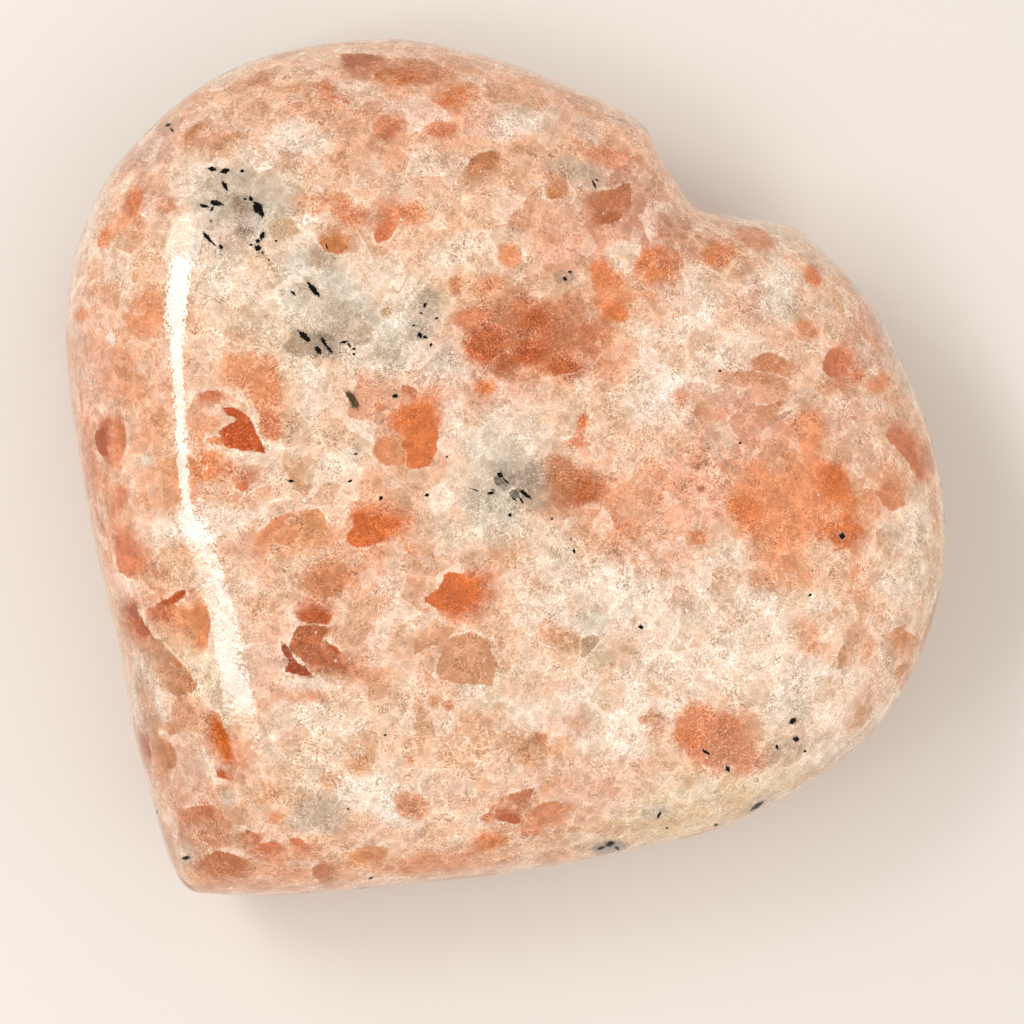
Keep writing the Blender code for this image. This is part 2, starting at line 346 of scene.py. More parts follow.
# Broad drifts of ground colour, and along the rims a few of painted light: x and y in the photograph's pixels, tone,
# strength, half length and half width in mm, and degrees from image right where a drift is turned.
drifts = {
    "creamBand": [
      (280, 270, "cream", .9, 9, 6, -40), (420, 330, "cream", .8, 8, 4, -25), (475, 420, "ivory", .8, 6.5, 4.5, -60),
      (480, 505, "cream", .8, 6, 5, -40), (570, 590, "cream", .8, 7.5, 4, -35), (660, 610, "ivory", .8, 7, 3.5, -15),
      (740, 655, "ivory", .9, 7, 4, -30), (800, 740, "ivory", .8, 6.5, 4.5, -60)],
    "lowerEdge": [
      (720, 795, "butter", .9, 9, 3.5, 18), (850, 700, "ivory", .6, 6, 4, 50), (650, 700, "ivory", .6, 7, 4, 10),
      # painted rim light: the ivory band at (900, 560) lightens the right rim
      (900, 560, "ivory", .7, 5.5, 2.2, 80)],
    "upperLeft": [
      (180, 160, "rose", .45, 5, 3, 40), (220, 200, "cream", .8, 5.5, 4.5), (140, 420, "blush", .4, 4.5, 8),
      (95, 370, "blush", .6, 2.5, 8, -5)],
    "top": [
      (350, 110, "blush", .5, 10, 4, 5), (520, 110, "blush", .5, 8, 3, -20), (640, 215, "rose", .85, 4.5, 3.5, -40),
      (600, 230, "rose", .5, 5, 2.5, 20), (450, 225, "peach", .6, 6.5, 3, 10), (300, 138, "milk", .7, 2, 1.6),
      (520, 124, "milk", .7, 3, 1.1, 10), (545, 250, "rose", .45, 5, 2.5), (480, 252, "ivory", .7, 4, 1.6, 10)],
    "middle": [
      (620, 430, "cream", .5, 6, 4, 20), (675, 345, "milk", .75, 3.5, 5.5, -10), (700, 430, "blush", .3, 4.5, 3.5),
      (760, 400, "rose", .75, 4, 4.5), (700, 490, "blush", .5, 4, 3), (640, 530, "blush", .5, 6, 3, -30),
      (330, 450, "cream", .6, 6, 2.5, 10), (240, 520, "milk", .6, 6.5, 1.3, 8), (850, 430, "blush", .5, 3, 5, 10),
      (772, 285, "milk", .8, 3, 1.8, 40), (800, 360, "peach", .5, 4.5, 3)],
    "lowerLeft": [
      (225, 640, "cream", .4, 2.5, 6, -10), (255, 600, "ivory", .2, 5, 3, -30), (270, 680, "cream", .6, 5, 2.5),
      (400, 620, "blush", .35, 7, 5), (330, 745, "cream", .5, 6.5, 3.5, -25), (375, 800, "milk", .8, 4, 1.8, -20),
      (500, 770, "peach", .5, 8, 3), (580, 790, "blush", .6, 5, 3, 15), (590, 722, "ivory", .8, 6, 2.5),
      (200, 780, "mist", .5, 4, 3, -40), (175, 870, "blush", .6, 3.5, 2, 60), (260, 885, "rose", .5, 6, 1.4),
      (145, 700, "mist", .8, 2.2, 4, 10), (420, 880, "salmon", .35, 9, 1, 6), (205, 832, "clay", .6, 3.5, 1.5, -5),
      # painted light: the apricot drift at (430, 862) lightens the lower rim, which faces away from the lamps
      (430, 862, "apricot", .5, 3, 1.2, 5)],
    "edges": [
      (880, 330, "rose", .8, 2.5, 5, -35), (870, 725, "peach", .5, 4, 3, 40), (108, 525, "salmon", .5, 1.5, 4, 5),
      (640, 212, "clay", .35, 3.5, 2.5, -30), (650, 335, "peach", .35, 2.5, 3),
      # painted rim light: the ivory bands at (935, 520) and (920, 600) lighten the right rim
      (580, 112, "blush", .5, 3.5, 2.5, -30), (935, 520, "ivory", .5, 1.5, 4, 85), (920, 600, "ivory", .5, 2, 4, 80),
      (400, 480, "peach", .4, 3, 3), (460, 122, "blush", .5, 3, 1.5), (640, 128, "blush", .6, 3, 1.5, -40),
      (155, 205, "blush", .5, 2.5, 2.5), (300, 275, "smoke", .4, 2.5, 1.8), (385, 350, "smoke", .45, 3.2, 1.6, -20),
      (720, 488, "fawn", .5, 2, 2), (278, 680, "rose", .5, 2.4, 4), (565, 725, "blush", .5, 2, 1.6),
      (170, 770, "rose", .6, 5, 2.2, -50), (215, 800, "rose", .4, 3, 2), (785, 722, "smoke", .3, 2.5, 1.6),
      (235, 205, "frost", .65, 3.8, 3.6), (320, 290, "frost", .55, 4.5, 3, -35),
      (395, 340, "frost", .45, 3.5, 2.2, -20), (150, 150, "mauve", .7, 2.6, 1.6, 45),
      # painted light and shade: the rose band at (70, 400) makes the left rim darker and pinker, as pink light thrown
      # back onto it does
      (70, 400, "rose", .5, 9, 1.2, 88), (200, 665, "butter", .6, 1.4, 2), (520, 680, "cream", .45, 2.5, 1.8),
      (740, 560, "cream", .4, 2.2, 1.4), (300, 880, "salmon", .4, 7, 1.4, 3)],
    "halos": [
      (225, 425, "salmon", .2, 2.8, 5.5), (412, 430, "salmon", .4, 3.2, 3.6), (375, 525, "salmon", .25, 4.2, 2.6),
      (285, 525, "salmon", .35, 4.4, 2.4), (500, 572, "salmon", .3, 3.4, 2.6, -20),
      (605, 485, "salmon", .4, 4.5, 3.6), (785, 490, "salmon", .35, 6, 5.5), (520, 345, "salmon", .3, 6, 3.8),
      (600, 360, "salmon", .35, 2, 1.6), (155, 600, "salmon", .4, 1.6, 2), (285, 838, "salmon", .4, 2.4, 1.2),
      (585, 350, "salmon", .45, 3.5, 3)],
    "patches": [
      (318, 395, "ivory", .6, 1.8, 2), (437, 358, "smoke", .6, 1.6, 1.4), (500, 384, "rose", .6, 3.2, 1.4),
      (500, 264, "cream", .4, 2.2, 1.2), (695, 505, "shell", .5, 2.4, 3.2), (260, 745, "cream", .4, 2.4, 1.4),
      (580, 765, "cream", .35, 2.6, 1.8), (700, 782, "cream", .4, 2.2, 1.2), (140, 740, "rose", .5, 1.4, 2.2, 10),
      (450, 395, "blush", .5, 3, 1.5), (722, 560, "cream", .5, 1.8, 1.4), (790, 600, "cream", .45, 4, 1.2),
      (375, 718, "cream", .4, 3, 1.5), (482, 680, "cream", .6, 1.8, 1.8), (240, 762, "cream", .5, 2.5, 1.5),
      (312, 800, "cream", .4, 2, 2), (200, 802, "fawn", .4, 2.4, 1.8), (690, 800, "cream", .4, 2.2, 1.4),
      (880, 640, "ivory", .4, 1.6, 1.8), (700, 360, "cream", .3, 2, 2), (555, 500, "fawn", .3, 2.5, 1.5),
      (705, 500, "rose", .3, 2, 4), (140, 500, "rose", .3, 2, 2), (140, 620, "rose", .3, 1.5, 2),
      (550, 200, "rose", .3, 2.5, 2.5), (262, 820, "fawn", .25, 5, 2.5), (100, 500, "fawn", .3, 1.5, 4),
      (380, 560, "rose", .25, 2, 2), (800, 300, "ivory", .3, 3, 2), (880, 330, "clay", .25, 1.6, 2.6, -35),
      (740, 340, "ivory", .3, 2, 2), (740, 540, "ivory", .3, 2, 1.5), (672, 602, "fawn", .3, 1.6, 1.2),
      (412, 108, "rose", .45, 2, 1.2), (92, 378, "rose", .5, 1.2, 2.6), (560, 240, "rose", .4, 1.2, 1),
      (230, 312, "cream", .5, 3, 2.4), (110, 520, "fawn", .4, 1, 1.6), (480, 160, "rose", .2, 10, 4)],
}

# Stained grains with soft, stippled edges, and two painted glints among the details; the list is read as the drifts
# are.
stains = {
    "rustHeart": [
      (535, 338, "copper", .85, 5, 3.2), (536, 337, "sienna", .6, 1.9, 2.6, 10),
      (487, 343, "ember", .8, 1.6, 1.3, 30), (538, 320, "rust", .95, 1, .8), (531, 352, "rust", .85, 1.4, 1, 20),
      (531, 353, "brick", .5, 1.2, .9, 20), (566, 369, "rust", .85, 1.8, .85, -15),
      (505, 362, "rust", .7, 1, 1.2, -30), (487, 387, "orange", .7, .8, .5, 10), (472, 318, "coral", .8, 1.7, .8, 5),
      (572, 305, "clay", .5, 2, 1.6, 20), (600, 330, "coral", .5, 1.4, 1.2), (570, 340, "terra", .4, 1.6, 1.4)],
    "flameChain": [
      (612, 290, "salmon", .9, 1.5, 2.5, 15), (602, 272, "hot", .6, .9, 1.2), (615, 312, "orange", .9, 1.1, 1),
      (655, 266, "orange", .7, 1.9, 1.6, 20), (718, 256, "orange", .7, 1.4, 1, 25),
      (755, 236, "caramel", .9, 1.6, .9, -25), (690, 240, "caramel", .35, 2.8, 1.8),
      (650, 300, "salmon", .35, 2.2, 2.2)],
    "topStains": [
      (420, 72, "clay", .7, 2.4, 1.1, -5), (457, 97, "orange", .55, 1.9, 1.2, 15),
      (440, 130, "coral", .85, 1.2, .8, 10), (510, 256, "salmon", .9, .9, .8), (411, 213, "salmon", .8, 1.1, .8),
      (455, 285, "copper", .7, .6, .8), (485, 286, "salmon", .6, 1.3, .6, 20), (613, 156, "coral", .7, 2.8, .9, -8),
      (565, 160, "peach", .6, 3, 1, -20), (263, 80, "copper", .65, 1.1, .7, 10), (295, 103, "salmon", .3, 1.2, .8),
      (327, 92, "rust", .45, 1.1, .9, -30), (340, 103, "salmon", .4, .9, .7), (395, 80, "orange", .5, 1.8, .8, 5),
      (388, 124, "coral", .75, 1.1, .9, 10), (380, 142, "clay", .5, .9, .7), (288, 160, "tan", .45, 1.3, .9),
      (195, 129, "umber", 1, 1.1, .4, 38), (207, 139, "rose", .5, 1.4, .5, 25), (238, 137, "tan", .5, 1.2, .4, 5),
      (478, 190, "peach", .4, 4, 1.2, 5), (675, 225, "clay", .4, 1.8, 1.2)],
    "leftStains": [
      (133, 200, "amber", .75, .9, 1.4, -10), (105, 240, "orange", .85, .7, .9, -30),
      (167, 206, "clay", .8, .9, .7, -20), (120, 222, "salmon", .6, 1.4, .7, 50), (145, 320, "salmon", .6, 1.8, 2.2),
      (80, 315, "orange", .7, .6, .6), (127, 388, "caramel", .6, 1.9, 1.5, -15), (155, 355, "salmon", .3, 1.6, .9),
      (323, 202, "salmon", .65, 2, 1.1, 10), (352, 216, "coral", .75, 1.5, .9, -15), (90, 450, "coral", .5, .8, 3, 5),
      (122, 497, "coral", .9, .6, 1.2, -5), (150, 492, "honey", .35, 1, 1.2), (168, 497, "salmon", .2, 1.3, 1.6),
      (165, 440, "honey", .4, 1, 2.5)],
    "emberStains": [
      (248, 372, "apricot", .8, 2.2, 1.7, -30), (266, 395, "salmon", .7, 1.4, 1.4),
      (230, 362, "salmon", .25, 1.4, .7), (203, 430, "salmon", .55, 1.2, 1.3),
      (212, 466, "orange", .55, 1.6, 1.1, -10), (270, 425, "coral", .9, .8, 1.2, 20),
      (212, 397, "coral", .6, .9, .5, 10), (255, 495, "salmon", .4, 2.2, .8, 20), (250, 545, "blush", .6, 2.2, 1, 5),
      (262, 572, "salmon", .3, 1.6, 1.2)],
    "middleStains": [
      (588, 486, "terra", .7, 1.8, 1.3, 10), (554, 468, "terra", .4, .8, 1.1), (562, 492, "copper", .75, 2, 1.1, 15),
      (586, 491, "rust", .8, 1.2, .9, 10), (562, 465, "copper", .6, .8, 1.2, 20), (560, 480, "ochre", .6, 1.2, 1),
      (618, 490, "salmon", .4, 1.8, 1.6), (581, 426, "orange", .7, .5, 1.1, -15), (574, 442, "coral", .8, .9, .5),
      (635, 552, "clay", .4, 2.4, 1.7, -20), (620, 530, "orange", .35, 1.8, .8, -10),
      (698, 537, "orange", .7, .8, .7), (700, 461, "clay", .6, .9, .7), (683, 392, "salmon", .35, .9, .6, 40),
      (702, 489, "brick", .6, .35, .3), (504, 553, "honey", .5, 1.3, 1.2), (566, 641, "tan", .6, 1.5, 1, -20),
      (550, 630, "salmon", .4, 1, .8), (326, 579, "caramel", .75, 1.9, 1.3, 5), (255, 540, "rose", .35, 1.8, 1.3),
      (434, 701, "caramel", .8, .7, .6), (448, 706, "copper", .9, .5, .4), (612, 676, "salmon", .4, .4, .4)],
    "rightGlow": [
      (790, 502, "salmon", .95, 4.9, 3.5, 5), (834, 482, "amber", 1, 1.5, 2.2, 5), (834, 480, "hot", .55, .9, 1.2),
      (742, 512, "orange", .75, 1.5, 1.4, 10), (812, 437, "salmon", .8, 1, 2.2, 10),
      (838, 535, "amber", .95, 1.6, 1.4), (785, 575, "salmon", .4, 3.2, 1.3), (862, 578, "salmon", .4, 1.2, 1.4),
      (845, 508, "orange", .7, 1.7, 2), (861, 597, "salmon", .6, .5, .4), (760, 545, "salmon", .25, 2, 1.4, -20)],
    "rightStains": [
      (812, 277, "orange", .8, .7, 1, 20), (795, 262, "salmon", .35, 1.2, .8, -40), (808, 330, "salmon", .7, 1.1, .9),
      (838, 364, "coral", .6, 1.2, 1.5), (857, 377, "coral", .7, .5, .6), (879, 384, "salmon", .8, 1.1, .9, 10),
      (826, 389, "clay", .5, .7, .5), (870, 465, "blush", .6, .8, 1.2), (870, 500, "salmon", .55, .8, 1.8, 10),
      (808, 637, "salmon", .6, 1, 1.5, 10), (818, 634, "orange", .15, .5, .7), (903, 669, "tan", .8, .4, .9, -40),
      (935, 510, "salmon", .4, .5, 2.2, 5), (690, 395, "salmon", .35, 1.5, .8, 35)],
    "lowerStains": [
      (722, 738, "coral", .85, 3.9, 2.7, -45), (735, 752, "copper", .6, 2.4, 1.4, -45),
      (688, 735, "orange", .6, 1.2, .8, -10), (700, 715, "salmon", .4, 1.8, 1.2),
      (657, 722, "clay", .6, 1.2, 1.3, 10), (657, 690, "honey", .35, 1, 1), (527, 747, "tan", .6, 2.2, 1.3, -20),
      (541, 737, "copper", .95, .6, .5), (563, 751, "honey", .6, 1.1, 1.3), (546, 813, "caramel", 1, 1.7, 1, 15),
      (492, 842, "orange", .7, 1.5, .9, -5), (528, 830, "coral", .8, 1, .6, 10), (488, 818, "coral", .85, .5, .4),
      (411, 806, "caramel", .9, 1.4, 1, -20), (418, 836, "mauve", .7, .9, .35, 30), (410, 760, "orange", .6, .4, .4),
      (366, 855, "orange", .75, 1.6, .7, 8), (440, 862, "salmon", .55, 5, 1, 4), (324, 873, "copper", 1, .7, .9, 20),
      (359, 767, "honey", .6, .8, .8), (332, 780, "tan", .55, 1, .9, 40), (318, 696, "orange", .5, 1.3, .5, -10),
      (298, 698, "apricot", .5, 1.4, .8), (264, 793, "tan", .5, 1.7, 1, -20), (274, 817, "caramel", 1, 1, .7),
      (195, 815, "clay", .5, 1.5, .7, 5), (187, 709, "peach", .6, 1.1, 1), (176, 727, "tan", .7, .8, .6, 20),
      (146, 744, "terra", .95, .4, .8, 15), (205, 840, "clay", .35, 2.2, .9, -5), (150, 720, "fawn", .6, 1, 2.5, 15),
      (176, 616, "apricot", .6, 1.6, 1.3, -20)],
    "details": [
      (722, 438, "cream", .5, 1.2, 1.2), (160, 200, "rose", .4, 1.2, 1.5), (240, 240, "slate", .45, 1.5, 1.2),
      (357, 299, "milk", .6, .9, .7), (731, 467, "slate", .5, 1.6, .22, -45), (278, 663, "mauve", .5, 1, .8),
      (262, 610, "caramel", .5, 1.4, 1, -30), (208, 795, "milk", .2, 1.3, .3, -60), (226, 797, "smoke", .5, .8, .9),
      # painted glints: the milk spots at (95, 300) and (111, 338) stand for sparkles of light inside the stone
      (95, 300, "milk", .3, .7, .5), (111, 338, "milk", .85, .4, .6), (147, 460, "milk", .6, .6, .6),
      (155, 679, "milk", .8, .3, .25), (162, 694, "milk", .3, .3, .25), (163, 732, "milk", .8, .35, .25),
      (488, 428, "milk", .8, .4, .35), (700, 503, "milk", .3, .6, .5), (625, 612, "milk", .7, 1, .6),
      (856, 419, "brick", .5, .45, .25), (350, 453, "milk", .7, .5, .5), (395, 253, "milk", .2, .4, .7, 20)],
    "clear": [
      (227, 203, "smoke", .75, 2.8, 3), (238, 204, "slate", .5, .7, .5), (243, 232, "slate", .9, .9, .6, 10),
      (287, 227, "smoke", .5, 1.2, .7), (323, 260, "stone", .8, 1.4, 1.1), (305, 305, "milk", .6, 1.3, 1.1),
      (350, 322, "smoke", .7, 2.2, 1.7, -20), (296, 346, "slate", .85, .9, .6, -10),
      (320, 345, "slate", .85, 1.4, 1, -20), (415, 312, "smoke", .6, 1.6, 2.2, -20), (430, 300, "slate", .3, 1, 1),
      (420, 332, "slate", .35, 1, .8), (575, 174, "smoke", .55, 2.2, 1.1, -15), (565, 276, "slate", .5, 1.1, .6),
      (548, 236, "fawn", .7, 1.2, .7), (521, 220, "fawn", .75, .9, .9), (515, 485, "slate", .85, 2.6, 1.9, -20),
      (505, 484, "slate", .9, 1.3, 1, -35), (485, 500, "smoke", .8, 2.2, 1.8), (495, 455, "mist", .5, 2, 2.4),
      (492, 520, "mist", .55, 1.8, 2), (535, 500, "stone", .7, 1.3, 1), (593, 622, "mist", .8, 1.7, 1.1, 10),
      (600, 655, "smoke", .4, 1.5, .9, -10), (320, 817, "smoke", .65, 2.6, 1.4, 5),
      (318, 660, "mist", .2, .8, 1.2, 20), (749, 305, "rose", .5, 1.3, 1.7, 10), (785, 300, "mist", .5, 1.2, 1.5),
      (926, 580, "smoke", .35, .9, 2.2, 5), (144, 692, "fawn", .6, 1, 1.7, 10), (165, 655, "olive", .55, 1, 1.2, 20),
      (795, 708, "mist", .6, 1.8, 1.1), (783, 750, "stone", .6, 1.6, 1), (654, 813, "smoke", .8, 1.2, .8),
      (757, 804, "smoke", .6, 1.8, .6, 33), (608, 848, "slate", .95, 1.4, .7, 5), (186, 855, "smoke", .5, 1, .8),
      (150, 155, "smoke", .3, 1.4, 2, 40)],
}

chipDepth = (0.99, 0.91, 0.84)   # a cleaved grain lets more light in than the crushed ones: its tone is purer

# Cleaved grains: tone, the side on which the edge is crisp (degrees from image right, None all round; it
# dissolves into specks on the other side), and the corners' x and y in the photograph's pixels.
chips = {
    "emberLeaf": ("ember", None, [222, 408, 233, 407, 247, 414, 253, 423, 258, 435, 266, 453, 253, 452, 230, 448,
      213, 445, 222, 443, 224, 438, 215, 433, 220, 429, 235, 422, 236, 419, 228, 416]),
    "emberCrown": ("ember", None, [222, 408, 233, 407, 247, 414, 249, 419, 237, 420, 228, 416]),
    "emberFold": ("apricot", None, [205, 440, 214, 435, 224, 438, 222, 443, 214, 445, 230, 448, 213, 447]),
    "scarletScale": ("coral", 90, [200, 395, 208, 391, 220, 389, 223, 395, 213, 397, 203, 404]),
    "eastEmber": ("flame", 300, [397, 403, 412, 400, 437, 393, 440, 418, 436, 452, 429, 466, 418, 468, 402, 466,
      404, 453, 400, 438, 390, 430, 385, 418]),
    "eastHalo": ("caramel", 215, [378, 432, 390, 430, 400, 440, 403, 455, 399, 466, 382, 464, 372, 452]),
    "eastBrow": ("copper", 90, [402, 386, 415, 387, 417, 398, 402, 402]),
    "tanDrop": ("caramel", 90, [374, 402, 389, 406, 384, 415, 376, 420]),
    "clearVeil": ("blush", 200, [357, 370, 371, 375, 381, 385, 394, 392, 392, 403, 374, 402, 375, 420, 359, 421,
      346, 415, 354, 393]),
    "marigold": ("amber", 150, [446, 572, 470, 572, 493, 574, 486, 587, 488, 596, 473, 612, 456, 619, 441, 612,
      424, 602, 423, 597, 438, 589]),
    "tanPlate": ("sand", None, [436, 672, 445, 640, 470, 632, 488, 640, 496, 665, 492, 685, 460, 684, 440, 680]),
    "palePlate": ("sand", 270, [412, 640, 440, 632, 452, 630, 440, 645, 428, 647, 415, 655]),
    "coral": ("amber", 235, [351, 513, 359, 506, 366, 508, 382, 512, 401, 514, 409, 518, 401, 529, 386, 541, 371, 546,
      356, 547, 347, 541, 348, 534, 353, 526]),
    "coralTip": ("caramel", 90, [354, 503, 359, 499, 364, 503, 361, 508]),
    "slantWest": ("apricot", 120, [260, 531, 273, 519, 286, 514, 303, 510, 290, 519, 283, 532, 272, 542, 263, 551,
      255, 544]),
    "slantMiddle": ("caramel", 270, [290, 519, 303, 512, 302, 530, 290, 545, 272, 544, 283, 532]),
    "slantEast": ("honey", 60, [303, 510, 320, 509, 325, 516, 326, 528, 318, 536, 303, 544, 290, 545, 302, 530]),
    "twig": ("coral", 270, [236, 479, 242, 474, 255, 473, 246, 489, 242, 493, 236, 488]),
    "twigShade": ("peach", 110, [238, 507, 247, 500, 262, 492, 257, 500, 247, 507]),
    "honeyCell": ("caramel", 330, [321, 564, 346, 567, 351, 577, 343, 590, 326, 597, 309, 594, 306, 580]),
    "rustCap": ("sienna", 270, [296, 611, 307, 600, 317, 599, 329, 608, 334, 616, 329, 625, 315, 624, 299, 620]),
    "rustFan": ("terra", 150, [297, 627, 314, 625, 332, 628, 322, 640, 336, 650, 349, 660, 360, 673, 345, 676,
      316, 674, 306, 663, 289, 650, 292, 638]),
    "rustFin": ("rust", 45, [319, 646, 324, 641, 336, 646, 342, 655, 332, 656]),
    "garnetFin": ("garnet", None, [281, 640, 288, 646, 293, 657, 303, 666, 315, 678, 300, 676, 285, 671, 289, 662,
      282, 652]),
    "whiteLens": ("milk", 90, [289, 681, 305, 678, 322, 678, 317, 684, 296, 686]),
    "brownOval": ("umber", 110, [465, 172, 470, 160, 480, 152, 494, 150, 501, 157, 497, 167, 487, 176, 474, 180,
      466, 179]),
    "notchPlate": ("copper", 60, [584, 195, 608, 190, 632, 182, 631, 205, 622, 220, 594, 224, 588, 208]),
    "notchFoot": ("terra", 300, [592, 213, 610, 207, 626, 206, 621, 221, 594, 225]),
    "tanBean": ("ochre", 250, [318, 240, 325, 232, 340, 229, 353, 237, 351, 250, 338, 254, 324, 250]),
    "rustTile": ("coral", 280, [381, 206, 395, 203, 398, 216, 394, 232, 389, 240, 376, 243, 373, 233, 380, 222]),
    "topBand": ("terra", 100, [340, 53, 362, 53, 384, 58, 386, 66, 366, 74, 345, 70]),
    "claretWest": ("rust", 190, [95, 432, 101, 420, 110, 418, 113, 432, 110, 450, 116, 462, 108, 463, 96, 450]),
    "claretEast": ("coral", 10, [112, 420, 121, 416, 126, 430, 127, 445, 122, 458, 113, 466, 110, 450]),
    "rimTile": ("coral", 200, [112, 534, 124, 531, 148, 556, 150, 570, 138, 575, 130, 578, 119, 573]),
    "rimWedge": ("rust", 20, [122, 608, 127, 601, 136, 603, 140, 615, 148, 628, 152, 636, 144, 640, 133, 638,
      125, 625]),
    "wedge": ("sienna", 120, [147, 610, 166, 600, 180, 589, 190, 591, 183, 598, 171, 606, 165, 615, 151, 618]),
    "wedgeCore": ("rust", None, [172, 598, 180, 590, 190, 591, 183, 598, 174, 605]),
    "wedgeFoot": ("apricot", 0, [176, 613, 188, 606, 199, 600, 208, 606, 211, 618, 209, 635, 206, 648, 199, 651,
      193, 640, 188, 626]),
    "oliveTile": ("fawn", 320, [155, 659, 171, 653, 183, 663, 198, 684, 193, 691, 178, 698, 169, 691, 158, 678]),
    "oliveShade": ("umber", 60, [166, 660, 172, 655, 183, 664, 186, 674, 176, 676]),
    "greyTile": ("fawn", 60, [138, 643, 155, 638, 166, 650, 170, 656, 155, 661, 148, 656]),
    "peachTile": ("blush", 180, [171, 704, 184, 698, 196, 704, 196, 722, 184, 728, 172, 722]),
    "smallHoney": ("fawn", 270, [164, 727, 172, 725, 181, 728, 178, 733, 168, 734]),
    "westRose": ("rust", 0, [141, 738, 146, 738, 152, 752, 151, 760, 145, 754]),
    "westPebble": ("umber", 10, [155, 742, 169, 741, 177, 752, 175, 767, 166, 776, 160, 762, 153, 752]),
    "flameSpear": ("hot", 20, [208, 716, 216, 712, 223, 724, 228, 738, 233, 752, 234, 767, 228, 769, 216, 756,
      208, 739]),
    "spearBlush": ("shell", 200, [228, 730, 246, 742, 252, 756, 246, 772, 238, 769, 233, 752]),
    "spearFoot": ("sienna", 225, [216, 769, 223, 767, 238, 776, 229, 779, 218, 777]),
    "footShade": ("copper", 90, [180, 812, 190, 807, 214, 805, 216, 812, 200, 820, 184, 820]),
    "footRust": ("terra", 90, [243, 828, 252, 832, 262, 836, 258, 842, 247, 841]),
    "footBean": ("coral", 90, [252, 850, 262, 842, 280, 842, 285, 852, 276, 859, 260, 858]),
    "footLens": ("coral", 90, [290, 836, 300, 838, 314, 849, 313, 855, 300, 852, 291, 844]),
    "footOval": ("copper", 80, [194, 866, 204, 856, 220, 850, 236, 856, 250, 862, 240, 876, 218, 882, 200, 876]),
    "footPink": ("copper", 180, [312, 868, 318, 862, 328, 866, 334, 878, 326, 884, 314, 878]),
    "footOrange": ("honey", 90, [346, 858, 354, 850, 374, 845, 388, 850, 384, 858, 362, 862, 348, 864]),
    "rustGem": ("sienna", 270, [494, 806, 508, 808, 521, 815, 519, 823, 498, 821]),
    "tanGem": ("copper", 90, [502, 799, 511, 793, 536, 787, 532, 800, 521, 812, 510, 806]),
    "honeyPlate": ("caramel", 90, [524, 818, 536, 806, 556, 800, 566, 806, 560, 818, 544, 826, 528, 826]),
    "duskChip": ("stone", None, [582, 640, 593, 635, 602, 638, 594, 649, 582, 659]),
    "duskPlate": ("cream", 270, [596, 652, 604, 646, 618, 648, 614, 662, 600, 668, 590, 662]),
    "mauveKite": ("honey", 80, [888, 638, 898, 626, 918, 637, 905, 653]),
    "rimBlade": ("coral", 215, [884, 436, 896, 423, 906, 428, 916, 438, 929, 464, 927, 479, 919, 481, 906, 459,
      891, 444]),
    "rimSquare": ("apricot", 250, [881, 479, 899, 479, 902, 492, 904, 506, 892, 512, 879, 502]),
    "rimSpindle": ("blush", 225, [853, 318, 866, 325, 879, 340, 884, 348, 881, 356, 874, 348, 862, 335]),
    "rustMosaic": ("coral", 180, [825, 353, 838, 346, 848, 348, 854, 360, 846, 370, 841, 383, 831, 378, 823, 370]),
    "rustMote": ("salmon", 200, [850, 371, 859, 370, 861, 380, 854, 385]),
    "oliveBlade": ("sand", 180, [836, 670, 838, 654, 850, 634, 856, 632, 855, 650, 846, 664]),
    "rimTan": ("shell", 0, [862, 645, 874, 640, 872, 656, 860, 662]),
    "stepCrown": ("caramel", 90, [751, 361, 765, 351, 773, 353, 785, 360, 790, 366, 789, 373, 783, 381, 766, 378,
      756, 371]),
    "stepRidge": ("copper", 90, [771, 361, 778, 356, 783, 358, 775, 365]),
    "stepPlate": ("fawn", 90, [722, 372, 745, 370, 766, 371, 783, 381, 786, 390, 770, 392, 748, 384]),
    "stepRose": ("blush", 95, [750, 388, 778, 382, 791, 384, 788, 396, 765, 402, 750, 398]),
    "stepDusk": ("fawn", 90, [748, 404, 763, 406, 775, 403, 790, 398, 778, 411, 766, 423, 756, 414]),
    "stepShadow": ("mauve", 45, [768, 424, 776, 416, 793, 408, 791, 414, 780, 421, 772, 428]),
    "stepBeige": ("rose", 180, [728, 419, 740, 411, 750, 416, 765, 426, 750, 442, 733, 433]),
    "smallTan": ("sand", 180, [696, 405, 706, 404, 708, 414, 700, 419, 694, 412]),
    "clearSlate": ("ash", 210, [283, 345, 294, 333, 307, 334, 312, 344, 303, 352, 290, 353]),
    "clearDusk": ("slate", 150, [230, 203, 236, 196, 246, 198, 250, 204, 243, 210, 233, 209]),
    "clearAsh": ("smoke", 330, [345, 320, 358, 318, 374, 330, 368, 344, 352, 346, 340, 338]),
    "clearBone": ("bone", 20, [272, 226, 281, 216, 296, 220, 300, 232, 290, 238, 276, 236]),
    "creamOval": ("bone", None, [378, 312, 384, 307, 392, 308, 391, 315, 383, 318]),
    "clearTan": ("umber", 250, [546, 188, 554, 178, 562, 176, 566, 190, 560, 200, 548, 200]),
    "tanOval": ("sand", 180, [522, 207, 528, 196, 534, 196, 532, 206, 526, 212]),
    "eyeShade": ("soot", 180, [493, 480, 501, 473, 510, 483, 508, 487, 496, 486]),
    "eyeWedge": ("soot", None, [507, 493, 517, 489, 521, 500, 513, 498]),
    "streakTan": ("umber", 120, [186, 136, 190, 128, 202, 121, 206, 122, 198, 131, 189, 137]),
    "needle": ("needle", None, [344, 392, 350, 389, 361, 406, 354, 410]),
}

